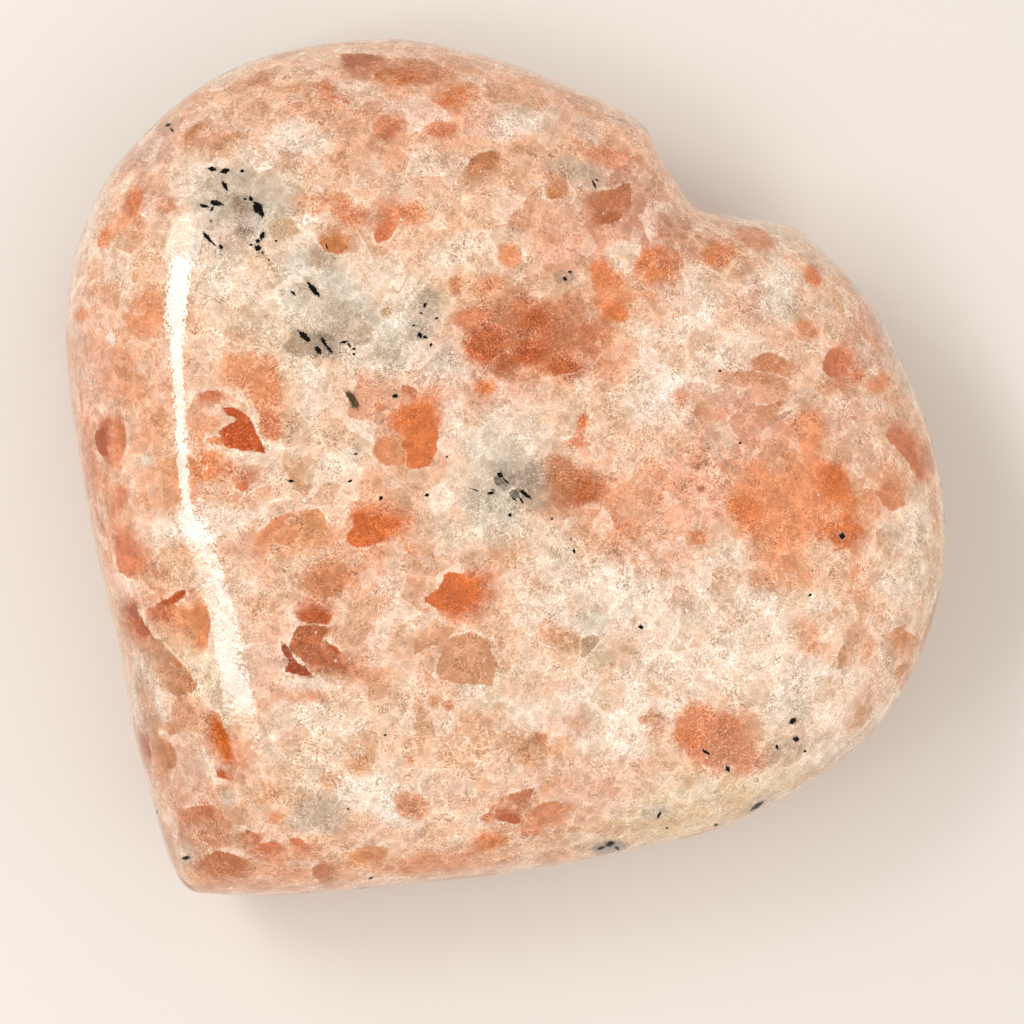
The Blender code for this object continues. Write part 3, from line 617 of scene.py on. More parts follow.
# Black flecks of ore: x and y in pixels, half length and half width in mm, and degrees where one is turned.
flecks = {
    "upperNest": [
      (212, 169, .36, .17, -6), (225, 171, .36, .2, 15), (242, 171, .16, .12), (225, 186, .36, .17, -62),
      (216, 203, .52, .2, -15), (204, 206, .4, .13, -14), (212, 209, .22, .1, 60), (251, 199, .24, .15, -55),
      (245, 199, .13, .09), (258, 208, .56, .36, -62), (262, 214, .26, .16, -80), (207, 237, .48, .15, -50),
      (213, 243, .34, .06, -45), (221, 247, .2, .15, -60), (262, 236, .36, .17, 70), (258, 241, .2, .15),
      (258, 248, .25, .22, -30), (264, 252, .22, .18, 20), (251, 245, .14, .09), (276, 241, .11, .08),
      (269, 260, .1, .07), (211, 221, .12, .07)],
    "midNest": [
      (313, 289, .66, .2, -52), (316, 293, .34, .16, -30), (293, 293, .26, .11, -45), (304, 336, .58, .22, -42),
      (308, 340, .22, .16), (324, 342, .5, .15, -60), (329, 349, .42, .11, -48), (318, 350, .36, .2, -50),
      (344, 342, .3, .1, 10), (349, 345, .2, .08, -60), (354, 349, .14, .1), (354, 354, .11, .09)],
    "smudgeNest": [
      (420, 335, .26, .17, -60), (425, 337, .2, .12, -30), (425, 305, .24, .12, 60), (414, 326, .15, .1),
      (431, 345, .14, .1, 80), (421, 313, .12, .09), (437, 318, .13, .09, 30)],
    "eyeNest": [
      (500, 475, .24, .18, -40), (506, 481, .34, .08, -45), (525, 494, .62, .14, -40), (521, 500, .3, .09, -55),
      (491, 493, .26, .12, 10), (514, 499, .26, .08, -30), (510, 515, .15, .13), (475, 490, .36, .05, -20),
      (493, 490, .2, .05, -20)],
    "strays": [
      (574, 551, .18, .1, -60), (571, 539, .1, .07, 80), (641, 627, .2, .16), (842, 536, .24, .22),
      (327, 247, .26, .06, -70), (381, 498, .18, .15, 30), (291, 481, .24, .12), (427, 495, .18, .12, 20),
      (350, 481, .18, .1, 20), (168, 125, .24, .1, 20), (172, 130, .18, .08, -50), (594, 184, .36, .08, -65),
      (597, 180, .2, .06, -40), (565, 279, .2, .14, -50), (570, 272, .13, .09), (395, 396, .22, .15),
      (356, 454, .16, .07, 10), (447, 457, .12, .08, 60), (157, 812, .14, .09, 70), (186, 858, .3, .14, 10),
      (371, 878, .18, .08, 20), (385, 735, .1, .09), (348, 809, .09, .08), (740, 443, .11, .09), (720, 371, .12, .09),
      (810, 595, .14, .09, 20), (552, 519, .1, .08)],
    "lowerNest": [
      (793, 721, .32, .2, 35), (796, 739, .26, .22), (777, 747, .18, .11, -70), (706, 752, .36, .11, -32),
      (728, 769, .26, .16, -60), (805, 751, .11, .09), (659, 815, .28, .1, 65), (716, 825, .16, .11, 10),
      (757, 806, .62, .15, 35), (770, 809, .2, .12, 20), (610, 844, .38, .2, 20), (601, 848, .32, .13, 20),
      (617, 848, .22, .14, -30), (667, 828, .1, .08)],
}

# Healed cracks, thin and pale, and first a painted highlight along a facet ridge: width in mm, strength, and x and y
# of the points along each in pixels.
veinsAndRidgeHighlight = {
    # a painted highlight, not a crack: the pale line where the lower-left shoulder's facet begins catches the light
    "westRidgeHighlight": (.2, 1, [135, 600, 141, 615, 153, 631, 170, 650, 183, 663, 198, 683, 206, 701, 219, 713]),
    "notchVein": (.14, .9, [565, 165, 568, 182, 577, 195, 572, 202, 560, 206, 553, 216]),
    "plateVein": (.18, .9, [429, 647, 441, 646, 456, 631]),
    "heartVein": (.14, .4, [516, 384, 545, 378, 572, 382, 592, 372]),
    "lobeVein": (.22, .8, [758, 225, 772, 236, 780, 252]),
    "emberVein": (.18, .8, [388, 434, 384, 418, 395, 402]),
    "gemVein": (.14, .7, [535, 789, 528, 808, 522, 816, 530, 824]),
    "slabVein": (.14, .7, [540, 762, 552, 767, 565, 769]),
    "twigVein": (.2, .8, [234, 503, 246, 496, 255, 489, 266, 483, 275, 477]),
    "veilVein": (.16, .9, [376, 423, 382, 413, 390, 408, 396, 405, 399, 415]),
    "footVein": (.14, .6, [236, 852, 262, 862, 284, 868, 300, 874]),
    "spearVein": (.14, .6, [204, 700, 212, 712, 206, 728]),
    "claretVein": (.12, .6, [112, 412, 124, 414, 130, 432, 127, 452, 116, 470]),
    "stepVein": (.12, .7, [722, 371, 745, 371, 772, 373, 790, 380]),
    "kiteVein": (.16, .6, [866, 632, 884, 622, 900, 618, 918, 632]),
    "salmonVein": (.12, .4, [700, 729, 712, 745, 722, 758]),
    "bladeVein": (.14, .7, [882, 445, 895, 458, 908, 480, 918, 494]),
    "rimVeinUp": (.12, .6, [849, 320, 860, 335, 872, 352]),
    "duskVein": (.14, .6, [566, 668, 580, 662, 594, 650, 604, 640]),
    "heartEdge": (.2, .55, [545, 380, 560, 376, 575, 373, 590, 366, 598, 358]),
    "meshWest": (.2, .8, [600, 395, 620, 385, 640, 387, 655, 378, 672, 380]),
    "meshUp": (.34, .55, [676, 306, 666, 330, 670, 352, 660, 374]),
    "meshEast": (.34, .55, [692, 316, 684, 345, 691, 372, 684, 392]),
    "honeyNorth": (.14, .7, [100, 352, 118, 343, 140, 341, 158, 350, 166, 366]),
    "honeyEast": (.12, .6, [166, 366, 160, 385, 165, 402]),
    "coralRim": (.14, .6, [384, 434, 398, 442, 407, 452, 404, 470]),
    "coralVein": (.14, .6, [262, 528, 285, 512, 310, 505, 328, 508]),
}


def photoPlace(points):
    # where the camera sees each point, in the photograph's pixels, and how far away it is in mm
    away = points - cameraPlace
    depth = -(away @ imageBack)
    middle = photoCamera["imageSize"] / 2
    across = middle + photoCamera["focalPixels"] * (away @ imageRight) / depth
    down = middle - photoCamera["focalPixels"] * (away @ imageUp) / depth
    return across, down, depth


across, down, depth = photoPlace(places)
facing = ((cameraPlace - places) * normals).sum(axis=1) > 0

# How marks are laid, in mm; the noises are size, height and seed.
marking = {
    "seed": 7,
    "softness": 0.45,            # the share of a blob's half width that its edge fades over
    "leastDepth": 2.5,           # how far down a small blob reaches
    "waver": ((3.2, 0.55, 11), (1.5, 0.45, 12), (0.8, 0.25, 13)),    # what frays a blob's skin
    "peachNoise": ((2.7, 0.5, 21), (1.3, 0.3, 22), (0.7, 0.2, 23)),  # patches that lean to peach
    "peachFrom": 0.45, "peachOver": 0.25, "peachShare": 0.8, "peachTint": (1.02, 0.85, 0.74),
    "pushNoise": ((1.9, 0.7, 31), (0.9, 0.4, 34)), "push": 0.5,      # how far the patterns are pushed about
    "chipDepth": 3.0, "fleckDepth": 1.5, "fleckReach": 0.75,
    "veinReach": 1.1, "veinDepth": 5.0, "veinFade": 0.3,
    "calmNoise": ((4.5, 1.3, 41),), "calmFrom": 0.62, "calmMost": 0.8, "calmSoftness": 0.5,
}
# What lies on the sides and the back, where the photograph shows nothing: count, half length in mm, strength, tones.
unseen = {
    "drifts": (46, (3.0, 9.0), (0.5, 0.9), ["cream", "ivory", "blush", "rose", "peach", "butter", "mist"]),
    "stains": (120, (0.6, 3.4), (0.5, 0.95),
               ["salmon", "orange", "clay", "honey", "rust", "smoke", "mist", "salmon", "tan", "orange"]),
    "chips": (90, (0.5, 1.9), (0.7, 1.2), ["amber", "coral", "sand", "sienna", "caramel", "bone", "rust", "copper"]),
    "flecks": (46, (0.1, 0.5), (0.25, 0.8), []),
}
waver = layeredNoise(places, marking["waver"], 0.5)


def surfaceUnder(x, y):
    # the visible point of the surface nearest to a pixel
    miss = (across - x) ** 2 + (down - y) ** 2
    return int(np.argmin(np.where(facing, miss, 1e12)))


def turnedBy(right, up, turn):
    return right * math.cos(turn) + up * math.sin(turn), up * math.cos(turn) - right * math.sin(turn)


def photoFrame(x, y, turn=0):
    # every point's place in mm along and across a mark that the photograph shows there, and its depth from it
    right, up = (across - x) / pixelsPerMm, (y - down) / pixelsPerMm
    return *turnedBy(right, up, math.radians(turn)), depth - depth[surfaceUnder(x, y)]


def surfaceFrame(index, turn):
    # the same for a mark on a side that the photograph doesn't show, in the surface's own plane there
    normal = normals[index]
    level = np.cross(normal, [0.31, 0.93, 0.2])
    level /= np.linalg.norm(level)
    offset = places - places[index]
    return *turnedBy(offset @ level, offset @ np.cross(normal, level), turn), offset @ normal


def blobShare(frameOfMark, halfLength, halfWidth, softness):
    # 1 inside an ellipsoid with a frayed skin, falling smoothly to 0 outside it
    along, aside, away = frameOfMark
    deep = max(marking["leastDepth"], halfLength, halfWidth)
    radius = np.sqrt((along / halfLength) ** 2 + (aside / halfWidth) ** 2 + (away / deep) ** 2)
    radius += waver
    share = np.clip((1 + softness - radius) / (2 * softness), 0, 1)
    return share * share * (3 - 2 * share)


def unseenSpots(count, rng):
    # points spread evenly over the sides and the back
    toCamera = cameraPlace - places
    cosine = (toCamera * normals).sum(axis=1) / np.linalg.norm(toCamera, axis=1)
    area = np.linalg.norm(places[:, :2], axis=1) + 3.0
    chance = np.where(cosine < 0.12, area, 0.0)
    chance[-2:] = 0
    return rng.choice(len(places), count, replace=False, p=chance / chance.sum())


def layBlobs(marks, colour):
    # lays each mark over the last: colour and the share of the ground that is covered
    bare = np.ones(len(places))
    for frameOfMark, halfLength, halfWidth, tone, strength in marks:
        share = strength * blobShare(frameOfMark(), halfLength, halfWidth, marking["softness"])
        colour = colour * (1 - share)[:, None] + tone * share[:, None]
        bare *= 1 - share
    return colour, 1 - bare


def marksOf(groups):
    return [(partial(photoFrame, x, y, *turn), long, wide, toneOf[tone], strength)
            for group in groups.values() for x, y, tone, strength, long, wide, *turn in group]


def unseenMarks(kind, rng):
    count, halfLengths, strengths, toneNames = unseen[kind]
    marks = []
    for spot in unseenSpots(count, rng):
        turn, long = rng.uniform(0, math.pi), rng.uniform(*halfLengths)
        wide = long * rng.uniform(0.4, 0.9)
        tone = toneOf[toneNames[rng.integers(len(toneNames))]]
        marks.append((partial(surfaceFrame, spot, turn), long, wide, tone, rng.uniform(*strengths)))
    return marks


def polygonDistance(along, aside, corners):
    # distance in mm to the edge of a polygon, positive inside it
    nearest = np.full(len(along), 1e9)
    inside = np.zeros(len(along), bool)
    for (x1, y1), (x2, y2) in zip(corners, corners[1:] + corners[:1]):
        dx, dy = x2 - x1, y2 - y1
        share = np.clip(((along - x1) * dx + (aside - y1) * dy) / (dx * dx + dy * dy), 0, 1)
        nearest = np.minimum(nearest, np.hypot(along - x1 - share * dx, aside - y1 - share * dy))
        crosses = (y1 > aside) != (y2 > aside)
        level = x1 + (aside - y1) * dx / (dy if abs(dy) > 1e-9 else 1e-9)
        inside ^= crosses & (along < level)
    return np.where(inside, nearest, -nearest)


def layChips(rng):
    # every point's distance into its nearest chip, how crisp the chip's edge is on that side, and its colour
    edge = np.full(len(places), -20.0)
    crisp = np.ones(len(places))
    colour = np.tile(toneOf["tan"], (len(places), 1))
    laid = []
    for tone, crispTurn, corners in chips.values():
        corners = np.reshape(corners, (-1, 2))
        x, y = corners.mean(axis=0)
        shape = [((cx - x) / pixelsPerMm, (y - cy) / pixelsPerMm) for cx, cy in corners]
        laid.append((photoFrame(x, y), shape, crispTurn, tone))
    count, halfLengths, unevenness, toneNames = unseen["chips"]
    for spot in unseenSpots(count, rng):
        corners = rng.integers(5, 9)
        angles = np.sort(rng.uniform(0, 2 * math.pi, corners))
        reach = rng.uniform(*halfLengths) * rng.uniform(*unevenness, corners)
        shape = [(float(r * math.cos(t)), float(0.7 * r * math.sin(t))) for r, t in zip(reach, angles)]
        laid.append((surfaceFrame(spot, rng.uniform(0, math.pi)), shape, rng.uniform(0, 360),
                     toneNames[rng.integers(len(toneNames))]))
    for (along, aside, away), shape, crispTurn, tone in laid:
        inner = np.minimum(polygonDistance(along, aside, shape), marking["chipDepth"] - np.abs(away))
        nearer = (inner > edge) | (inner > 0)
        edge = np.where(nearer, inner, edge)
        colour = np.where(nearer[:, None], toneOf[tone] * np.array(chipDepth), colour)
        side = turnedBy(along, aside, math.radians(crispTurn or 0))[0] / np.hypot(along, aside)
        crisp = np.where(nearer, 1.0 if crispTurn is None else 0.5 + 0.5 * side, crisp)
    return edge, crisp, colour


def layFlecks(rng):
    # three layers, so that neighbours lie in different ones; in each layer every point holds its place in the
    # nearest fleck, in that fleck's half lengths and half widths, and the fleck's number
    marks = [(photoFrame(x, y, *turn), long, wide) for group in flecks.values() for x, y, long, wide, *turn in group]
    count, halfLengths, slimness, _ = unseen["flecks"]
    for spot in unseenSpots(count, rng):
        long = rng.uniform(*halfLengths)
        marks.append((surfaceFrame(spot, rng.uniform(0, math.pi)), long, long * rng.uniform(*slimness)))
    for layer in range(3):
        coordinate = np.tile([40.0, 40.0, 0.5], (len(places), 1))
        nearest = np.full(len(places), marking["fleckReach"])
        for number, ((along, aside, away), long, wide) in enumerate(marks[layer::3], 1):
            gap = np.sqrt(np.maximum(np.abs(along) - long, 0) ** 2 + aside ** 2
                          + np.maximum(np.abs(away) - marking["fleckDepth"], 0) ** 2)
            nearer = gap < nearest
            nearest = np.where(nearer, gap, nearest)
            mine = np.stack([along / long, aside / wide, np.full(len(places), number + 0.5)], axis=1)
            coordinate = np.where(nearer[:, None], mine, coordinate)
        keepAttribute(f"fleck{layer}", coordinate)


def layVeinsAndRidgeHighlight():
    # signed distance from the nearest of the healed cracks and the painted ridge highlight, in its widths, and how
    # strong it is there
    place = np.tile([40.0, 0.0, 0.0], (len(places), 1))
    nearest = np.full(len(places), marking["veinReach"])
    for width, strength, line in veinsAndRidgeHighlight.values():
        points = np.reshape(line, (-1, 2))
        hidden = np.abs(depth - depth[surfaceUnder(*points[len(points) // 2])]) > marking["veinDepth"]
        for k, ((x1, y1), (x2, y2)) in enumerate(zip(points, points[1:])):
            along = math.hypot(x2 - x1, y2 - y1)
            dx, dy = (x2 - x1) / along, (y2 - y1) / along
            travel = (across - x1) * dx + (down - y1) * dy
            side = ((across - x1) * dy - (down - y1) * dx) / pixelsPerMm
            over = np.maximum(np.maximum(-travel, travel - along), 0) / pixelsPerMm
            gap = np.where(hidden, nearest, np.hypot(side, over))
            nearer = gap < nearest
            nearest = np.where(nearer, gap, nearest)
            endOver = np.where((k == 0) & (travel < 0) | (k == len(points) - 2) & (travel > along), over, 0.0)
            fade = np.clip(1 - endOver / marking["veinFade"], 0, 1) * strength
            place[nearer] = np.stack([side / width, fade, np.ones(len(places))], axis=1)[nearer]
    return place


def keepAttribute(name, values):
    kind = "FLOAT" if values.ndim == 1 else "FLOAT_VECTOR"
    made = heart.data.attributes.new(name, kind, "POINT")
    made.data.foreach_set("value" if values.ndim == 1 else "vector", values.astype(np.float32).ravel())


# Glassy areas, where the crushed texture fades: x, y in pixels, half length and half width in mm, turn, share.
calmAreas = [
    (72, 400, 9.0, 1.5, 88, 0.8), (128, 385, 2.6, 2.0, 10, 0.6), (86, 520, 3.0, 1.3, 75, 0.7),
    (165, 120, 4.0, 1.2, 50, 0.5), (920, 420, 7.0, 1.6, 72, 0.5), (250, 195, 2.2, 1.3, 0, 0.5),
    (620, 214, 2.4, 1.6, 0, 0.5), (150, 650, 2.4, 1.6, 60, 0.5), (200, 180, 6.0, 5.0, 30, 0.5),
    (130, 430, 3.0, 9.5, 0, 0.6), (330, 270, 5.0, 3.5, -35, 0.3),
]

feldspar = {
    "name": "polishedSunstone",
    "ior": 1.53,                # feldspar, 1.52 to 1.55
    "roughness": 0.06,
    # fff8ec is a painted glint: the white of a cleavage face catching the light
    "paintedGlint": "fff8ec", "speck": "8a5236", "ore": "14110f", "rim": "f8e2cd", "soot": "8d877e",
    "cloudSize": 1.6,           # mm, the widest of the clouds in the crushed feldspar
    "jagSize": 1.1,             # mm, the bays along the edges of stains and chips
    "gritSize": 0.09,           # mm, the width of the finest splinters; finer still in the stone
    "grainSize": 2.3,           # mm, the large clear grains
    "crumbSize": 0.85,          # mm, the small ones between them
    "splinterSize": 0.20,       # mm, the width of the splinters that those are crushed into
    "drawnOut": 2.1,            # how many times longer than wide a splinter is
    "curlSize": 0.5,            # mm between the curls of the cleavage cracks
    "stippleSize": 0.32,        # mm, the platelets that stain a grain; far finer in the stone, too fine to show
    "speckAndGlintSize": 0.8,           # mm between specks of iron oxide, and between the painted glints of cleavage faces
    "fleckJagSize": 0.13,       # mm, the splinters along a fleck's edge
    "rippleSize": 0.4,          # mm, the ripples left by the polishing wheel
    "rippleDepth": 0.00006,     # m
    # how much lighter one side of a facet is than its middle
    "dip": {"grain": 0.08, "crumb": 0.09, "splinter": 0.12},
    # ranges: as a pattern goes from the first value to the second, the share goes from the third to the fourth
    "cloudLight": (0.32, 0.68, 0.78, 1.02), "gritLight": (0.32, 0.72, -0.26, 0.32),
    "crumbLively": (0.25, 1.0, 0.35, 1.55),
    "clearGrain": (0.6, 0.9, 0.0, 0.7), "clearTint": (0.86, 0.77, 0.69, 1.0),
    "milky": {"grain": (0.65, 0.95, 0.0, 0.35), "crumb": (0.74, 0.95, 0.0, 0.32)},
    "stainReach": (0.06, 0.92, 0.0, 1.0), "stainBare": (0.02, 0.12, 0.0, 1.0),
    "stainBetween": (0.54, 0.68, 1.0, 0.5),   # the splinters between the platelets stay pale
    "chipSlack": (0.30, 0.80, 1.1, 0.08),     # mm that a dissolving and a crisp edge waver
    "chipBetween": (0.56, 0.72, 1.0, 0.7), "chipRim": (-0.30, -0.10, 0.0, 1.0),
    "rimWhere": (0.46, 0.58, 0.0, 0.6), "rimCrisp": (0.5, 0.1, 0.0, 1.0),
    "crowding": (0.80, 0.92, 0.0, 0.85), "crowdTint": (0.85, 0.77, 0.68, 1.0),
    "paleSwing": (1.0, 1.12, 1.3),            # a lighter spot is also paler: green and blue swing more than red
    "fibrous": (0.4, 0.9, 0.0, 0.8),
    "curlDark": (0.86, 0.83, 0.79, 1.0), "curlPale": (1.3, 1.38, 1.5, 1.0), "cloudPale": (1.22, 1.28, 1.38, 1.0),
    "veinLine": (0.2, 0.6, 0.75, 0.0), "veinBreak": (0.45, 0.56, 0.1, 1.0),
    "speckAndGlintDot": (0.0, 0.11, 0.75, 0.0), "speckAndGlintRare": 0.76,
    "sootReach": (1.4, 2.6, 0.4, 0.0), "oreReach": (1.5, 1.7, 1.0, 0.0),
}


def drawMinerals():
    rng = np.random.default_rng(marking["seed"])
    ground, _ = layBlobs(marksOf(drifts) + unseenMarks("drifts", rng), np.tile(toneOf["peach"], (len(places), 1)))
    hue = layeredNoise(places, marking["peachNoise"])
    lean = np.clip((hue - marking["peachFrom"]) / marking["peachOver"], 0, 1)[:, None] * marking["peachShare"]
    ground *= 1 - lean * (1 - np.array(marking["peachTint"]))
    push = [layeredNoise(places, [(size, height, seed + axis) for size, height, seed in marking["pushNoise"]])
            for axis in range(3)]
    keepAttribute("push", (np.stack(push, axis=1) - 0.55) * marking["push"])
    stain, covered = layBlobs(marksOf(stains) + unseenMarks("stains", rng), np.zeros((len(places), 3)))
    edge, crisp, chipColour = layChips(rng)
    keepAttribute("ground", ground)
    keepAttribute("stain", stain / np.maximum(covered, 1e-4)[:, None])
    keepAttribute("covered", covered)
    keepAttribute("chipEdge", edge)
    keepAttribute("chipCrisp", crisp)
    keepAttribute("chipColour", chipColour)
    layFlecks(rng)
    keepAttribute("veinAndRidgeHighlight", layVeinsAndRidgeHighlight())
    calm = layeredNoise(places, marking["calmNoise"]) - marking["calmFrom"]
    for x, y, halfLength, halfWidth, turn, share in calmAreas:
        quiet = blobShare(photoFrame(x, y, turn), halfLength, halfWidth, marking["calmSoftness"])
        calm = np.maximum(calm, share * quiet)
    keepAttribute("lively", 1 - np.clip(calm, 0.0, marking["calmMost"]))


drawMinerals()
print("minerals drawn")


def facets(add, place, size, dip):
    # Voronoi cells, each shaded along a direction of its own like a cleavage face that dips, and lighter at its
    # seams, so that bright meets dark along crisp edges; gives three random values of the cell and its lightness
    cell = add("TexVoronoi", {"Vector": place, "Scale": 1 / size}, None)
    offset = add("VectorMath", [place, cell["Position"]], operation="SUBTRACT")
    towards = add("VectorMath", [cell["Color"], (0.5, 0.5, 0.5)], operation="SUBTRACT")
    slope = add("VectorMath", [offset, towards], "Value", operation="DOT_PRODUCT")
    shade = add("MapRange", [slope, -0.25 * size, 0.25 * size, 1 - dip, 1 + dip])
    seam = add("MapRange", [cell["Distance"], 0.3, 0.85, 1 - 0.9 * dip, 1 + 1.2 * dip])
    lightness = add("Math", [shade, seam], operation="MULTIPLY")
    return add("SeparateXYZ", [cell["Color"]], None), lightness


def makeFeldspar():
    # Sunstone is a feldspar (oligoclase) full of red iron-oxide platelets, tumbled and polished: pale, faintly
    # see-through grains with white cleavage cracks between them, orange where the platelets crowd, under a gloss.
    stone = feldspar
    material = bpy.data.materials.new(stone["name"])
    material.use_nodes = True
    tree = material.node_tree
    surface = tree.nodes["Principled BSDF"]
    add = partial(addNode, tree)
    times, plus, timesPlus = ({"operation": name} for name in ("MULTIPLY", "ADD", "MULTIPLY_ADD"))
    mix, smooth = {"data_type": "RGBA"}, {"interpolation_type": "SMOOTHSTEP"}
    tint = {"data_type": "RGBA", "blend_type": "MULTIPLY"}
    paintedGlint, speckTone, ore, rim, soot = (
        (*linearColour(stone[name]), 1.0) for name in ("paintedGlint", "speck", "ore", "rim", "soot"))

    read = {name: add("Attribute", (), None, attribute_name=name) for name in (
        "push", "ground", "stain", "covered", "chipEdge", "chipCrisp", "chipColour",
        "fleck0", "fleck1", "fleck2", "veinAndRidgeHighlight", "lively")}
    inMm = add("VectorMath", {0: add("TexCoord", (), "Object"), "Scale": 1000.0}, operation="SCALE")
    warped = add("VectorMath", [inMm, read["push"]["Vector"]], **plus)
    clouds = add("TexNoise", {"Vector": warped, "Scale": 1 / stone["cloudSize"], "Detail": 4.0, "Roughness": 0.95})
    stipple = add("TexNoise", {"Vector": warped, "Scale": 1 / stone["stippleSize"], "Detail": 2.0, "Roughness": 0.75})
    jag = add("TexNoise", {"Vector": warped, "Scale": 1 / stone["jagSize"], "Detail": 3.0, "Roughness": 0.75})

    # lightness = clouds x grains x crumbs x splinters; each crumb cleaves along a direction of its own, its splinters
    # and grit are drawn out along it, and are more or less lively
    light = add("MapRange", [clouds, *stone["cloudLight"]])
    cells = {}
    for name in ("grain", "crumb"):
        cells[name], faced = facets(add, warped, stone[name + "Size"], stone["dip"][name])
        light = add("Math", [light, faced], **times)
    angle = add("Math", [cells["crumb"][0], 6.283], **times)
    turned = add("VectorRotate", {"Vector": inMm, "Angle": angle}, rotation_type="Z_AXIS")
    drawn = add("VectorMath", [turned, (1.0, 1 / stone["drawnOut"], 1.0)], **times)
    grit = add("TexNoise", {"Vector": drawn, "Scale": 1 / stone["gritSize"], "Detail": 1.0, "Roughness": 0.7})
    gritLight = add("MapRange", [grit, *stone["gritLight"]])
    _, splinter = facets(add, drawn, stone["splinterSize"], stone["dip"]["splinter"])
    fine = add("Math", [splinter, gritLight], **plus)
    lively = add("MapRange", [cells["crumb"][1], *stone["crumbLively"]])
    lively = add("Math", [lively, read["lively"]["Fac"]], **times)
    swing = add("Math", [fine, 1.0], operation="SUBTRACT")
    fineLight = add("Math", [swing, lively, 1.0], **timesPlus)
    light = add("Math", [light, fineLight], **times)

    # some grains are clearer, so darker and browner, some grains and crumbs are milky
    ground = read["ground"]["Color"]
    grainDark = add("MapRange", [cells["grain"][1], *stone["clearGrain"]])
    grainTone = add("Mix", {0: 1.0, 6: ground, 7: stone["clearTint"]}, 2, **tint)
    ground = add("Mix", {0: grainDark, 6: ground, 7: grainTone}, 2, **mix)
    for name in ("grain", "crumb"):
        milky = add("MapRange", [cells[name][2], *stone["milky"][name]])
        ground = add("Mix", {0: milky, 6: ground, 7: rim}, 2, **mix)

    # stained grains: the share of stain is stippled, so that an edge dissolves into specks
    stippleOff = add("Math", [stipple, 0.8, -0.4], **timesPlus)
    jagOff = add("Math", [jag, 1.1, -0.55], **timesPlus)
    wander = add("Math", [stippleOff, jagOff], **plus)
    reach = add("Math", [read["covered"]["Fac"], wander], **plus)
    stainShare = add("MapRange", [reach, *stone["stainReach"]], **smooth)
    bare = add("MapRange", [read["covered"]["Fac"], *stone["stainBare"]])
    stainMask = add("Math", [stainShare, bare], **times)
    between = add("MapRange", [grit, *stone["stainBetween"]])
    stainMask = add("Math", [stainMask, between], **times)
    colour = add("Mix", {0: stainMask, 6: ground, 7: read["stain"]["Color"]}, 2, **mix)

    # cleaved chips: a chip's edge is sharp on its crisp side and dissolves on the other
    slack = add("MapRange", [read["chipCrisp"]["Fac"], *stone["chipSlack"]], **smooth)
    scatter = add("Math", [stippleOff, slack], **times)
    chipJag = add("Math", [jagOff, 0.55], **times)
    ragged = add("Math", [scatter, 1.8, chipJag], **timesPlus)
    chipEdge = add("Math", [read["chipEdge"]["Fac"], ragged], **plus)
    slackOut = add("Math", [slack, -0.8], **times)
    slackIn = add("Math", [slack, 0.6], **times)
    chipFill = add("MapRange", [chipEdge, slackOut, slackIn, 0.0, 1.0])
    chipPart = add("MapRange", [grit, *stone["chipBetween"]])
    chipShare = add("Math", [chipFill, chipPart], **times)
    rimBand = add("MapRange", [chipEdge, *stone["chipRim"]])
    rimWhere = add("MapRange", [clouds, *stone["rimWhere"]])
    rimCrisp = add("MapRange", [slack, *stone["rimCrisp"]])
    rimHere = add("Math", [rimWhere, rimCrisp], **times)
    rimShare = add("Math", [rimBand, rimHere], **times)
    colour = add("Mix", {0: rimShare, 6: colour, 7: rim}, 2, **mix)
    colour = add("Mix", {0: chipShare, 6: colour, 7: read["chipColour"]["Color"]}, 2, **mix)

    # the platelets crowd in darker, redder specks within whatever is stained
    over = add("Math", [stainMask, chipShare], operation="MAXIMUM")
    pepper = add("Math", [grit, 0.5, stipple], **timesPlus)
    crowd = add("MapRange", [pepper, *stone["crowding"]])
    crowdShare = add("Math", [crowd, over], **times)
    crowded = add("Mix", {0: 1.0, 6: colour, 7: stone["crowdTint"]}, 2, **tint)
    colour = add("Mix", {0: crowdShare, 6: colour, 7: crowded}, 2, **mix)

    # lightness of each channel = 1 + its swing x (lightness - 1)
    swing = add("VectorMath", [light, stone["paleSwing"], [1 - share for share in stone["paleSwing"]]], **timesPlus)
    colour = add("VectorMath", [colour, swing], **times)

    # curls of cleavage cracks: pale along a noise's middle value, dark along one beside it; clear grains have fewer
    curls = add("TexNoise", {"Vector": warped, "Scale": 1 / stone["curlSize"], "Detail": 3.0, "Roughness": 0.7})
    fibrous = add("MapRange", [cells["grain"][0], *stone["fibrous"]])
    stained = add("Math", [stainMask, 0.6], **times)
    hidden = add("Math", [stained, chipFill], operation="MAXIMUM")
    under = add("Math", [hidden, -0.94, 1.0], **timesPlus)
    curlHere = add("Math", [fibrous, under], **times)
    for noise, middle, width, tone, here in (
            (curls, 0.56, 0.045, stone["curlDark"], curlHere), (curls, 0.5, 0.06, stone["curlPale"], curlHere),
            (clouds, 0.5, 0.05, stone["cloudPale"], under)):
        offset = add("Math", [noise, middle], operation="SUBTRACT")
        ridge = add("Math", [offset], operation="ABSOLUTE")
        line = add("MapRange", [ridge, 0.003, width, 1.0, 0.0])
        share = add("Math", [line, here], **times)
        tinted = add("Mix", {0: 1.0, 6: colour, 7: tone}, 2, clamp_result=True, **tint)
        colour = add("Mix", {0: share, 6: colour, 7: tinted}, 2, **mix)

    # healed cracks, and the painted highlight along the lower-left facet ridge
    veinSide, veinStrength, _ = add("SeparateXYZ", [read["veinAndRidgeHighlight"]["Vector"]], None)
    veinWave = add("Math", [wander, 1.6, veinSide], **timesPlus)
    veinOff = add("Math", [veinWave], operation="ABSOLUTE")
    veinLine = add("MapRange", [veinOff, *stone["veinLine"]])
    veinBreak = add("MapRange", [clouds, *stone["veinBreak"]])
    veinHere = add("Math", [veinStrength, veinBreak], **times)
    veinAndHighlightShare = add("Math", [veinLine, veinHere], **times)
    colour = add("Mix", {0: veinAndHighlightShare, 6: colour, 7: rim}, 2, **mix)
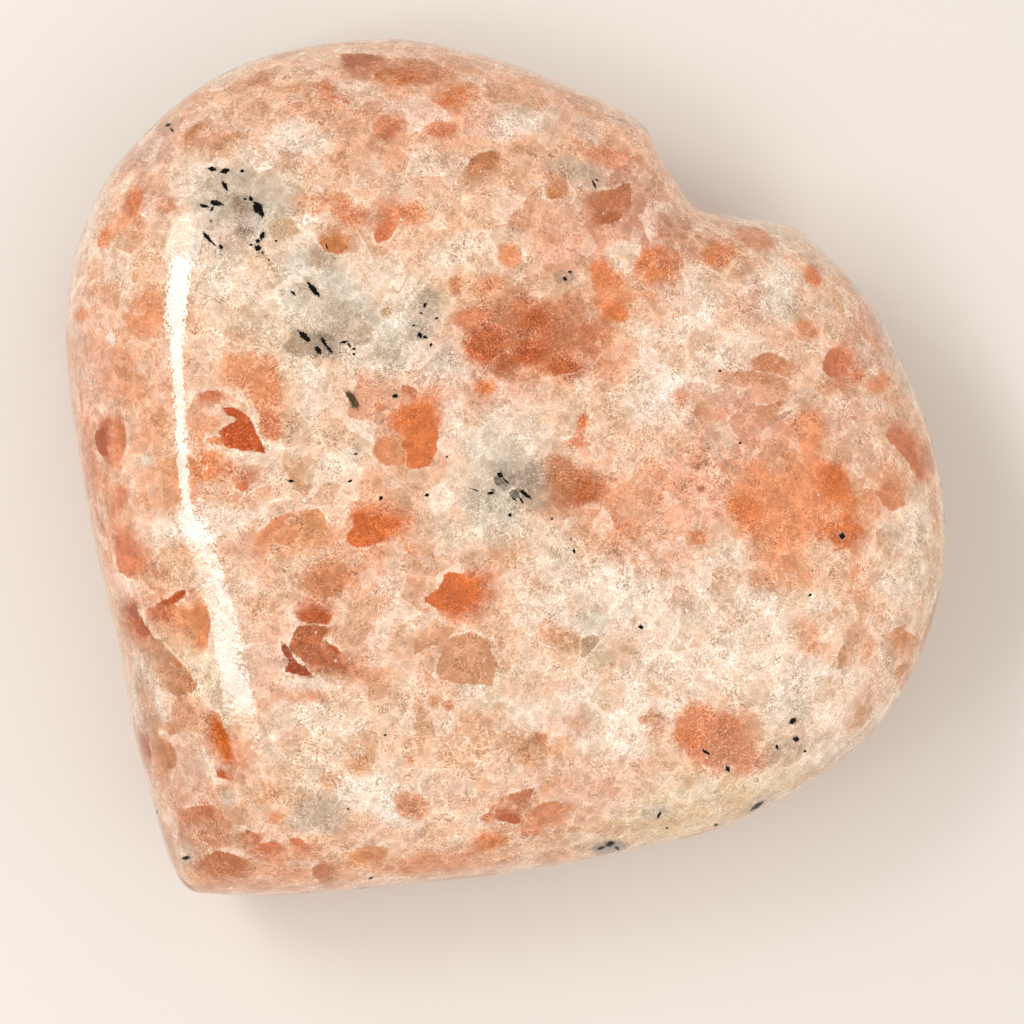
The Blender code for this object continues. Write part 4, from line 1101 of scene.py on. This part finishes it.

    # one cell in four holds a speck of iron oxide, one in four a painted glint, a bright point where a cleavage face
    # catches the light
    cell = add("TexVoronoi", {"Vector": inMm, "Scale": 1 / stone["speckAndGlintSize"]}, None)
    picks = add("SeparateXYZ", [cell["Color"]], None)
    far = add("Math", [stippleOff, 0.5, cell["Distance"]], **timesPlus)
    dot = add("MapRange", [far, *stone["speckAndGlintDot"]])
    for channel, tone in ((0, speckTone), (1, paintedGlint)):
        pick = add("Math", [picks[channel], stone["speckAndGlintRare"]], operation="GREATER_THAN")
        share = add("Math", [pick, dot], **times)
        colour = add("Mix", {0: share, 6: colour, 7: tone}, 2, **mix)

    # flecks of black ore in a smoky halo: a pointed ellipse, its edge splintered
    fleckJag = add("TexNoise", {"Vector": inMm, "Scale": 1 / stone["fleckJagSize"], "Detail": 1.0, "Roughness": 0.6})
    shapes, sheen = [], 0.5
    for layer in range(3):
        flat = add("VectorMath", [read[f"fleck{layer}"]["Vector"], (1.0, 1.0, 0.0)], **times)
        length = add("VectorMath", [flat], "Value", operation="LENGTH")
        absolute = add("VectorMath", [flat], operation="ABSOLUTE")
        diamond = add("VectorMath", [absolute, (0.3, 0.3, 0.0)], "Value", operation="DOT_PRODUCT")
        radius = add("Math", [length, 0.6, diamond], **timesPlus)
        shapes.append(add("Math", [fleckJag, 1.3, radius], **timesPlus))
    for reach, tone in ((stone["sootReach"], soot), (stone["oreReach"], ore)):
        for layer, shape in enumerate(shapes):
            number = add("SeparateXYZ", [read[f"fleck{layer}"]["Vector"]], 2)
            part = add("Math", [number], operation="FRACT")
            whole = add("Math", [part, 0.5, 0.01], operation="COMPARE")
            inside = add("MapRange", [shape, *reach])
            share = add("Math", [inside, whole], **times)
            colour = add("Mix", {0: share, 6: colour, 7: tone}, 2, **mix)
            if tone == ore:
                sheen = add("Math", [share, -0.45, sheen], **timesPlus)

    # the polish: fine ripples left by the wheel, only deep enough to fray a reflection's edge
    ripple = add("TexNoise", {"Vector": inMm, "Scale": 1 / stone["rippleSize"], "Detail": 1.0})
    bump = add("Bump", {"Strength": 0.2, "Distance": stone["rippleDepth"], "Height": ripple})
    tree.links.new(colour, surface.inputs["Base Color"])
    tree.links.new(bump, surface.inputs["Normal"])
    tree.links.new(sheen, surface.inputs["Specular IOR Level"])   # the ore takes no polish
    surface.inputs["Roughness"].default_value = stone["roughness"]
    surface.inputs["IOR"].default_value = stone["ior"]
    return material


heart.data.materials.append(makeFeldspar())
print("stone polished")

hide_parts("heart")
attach(heart, "root")
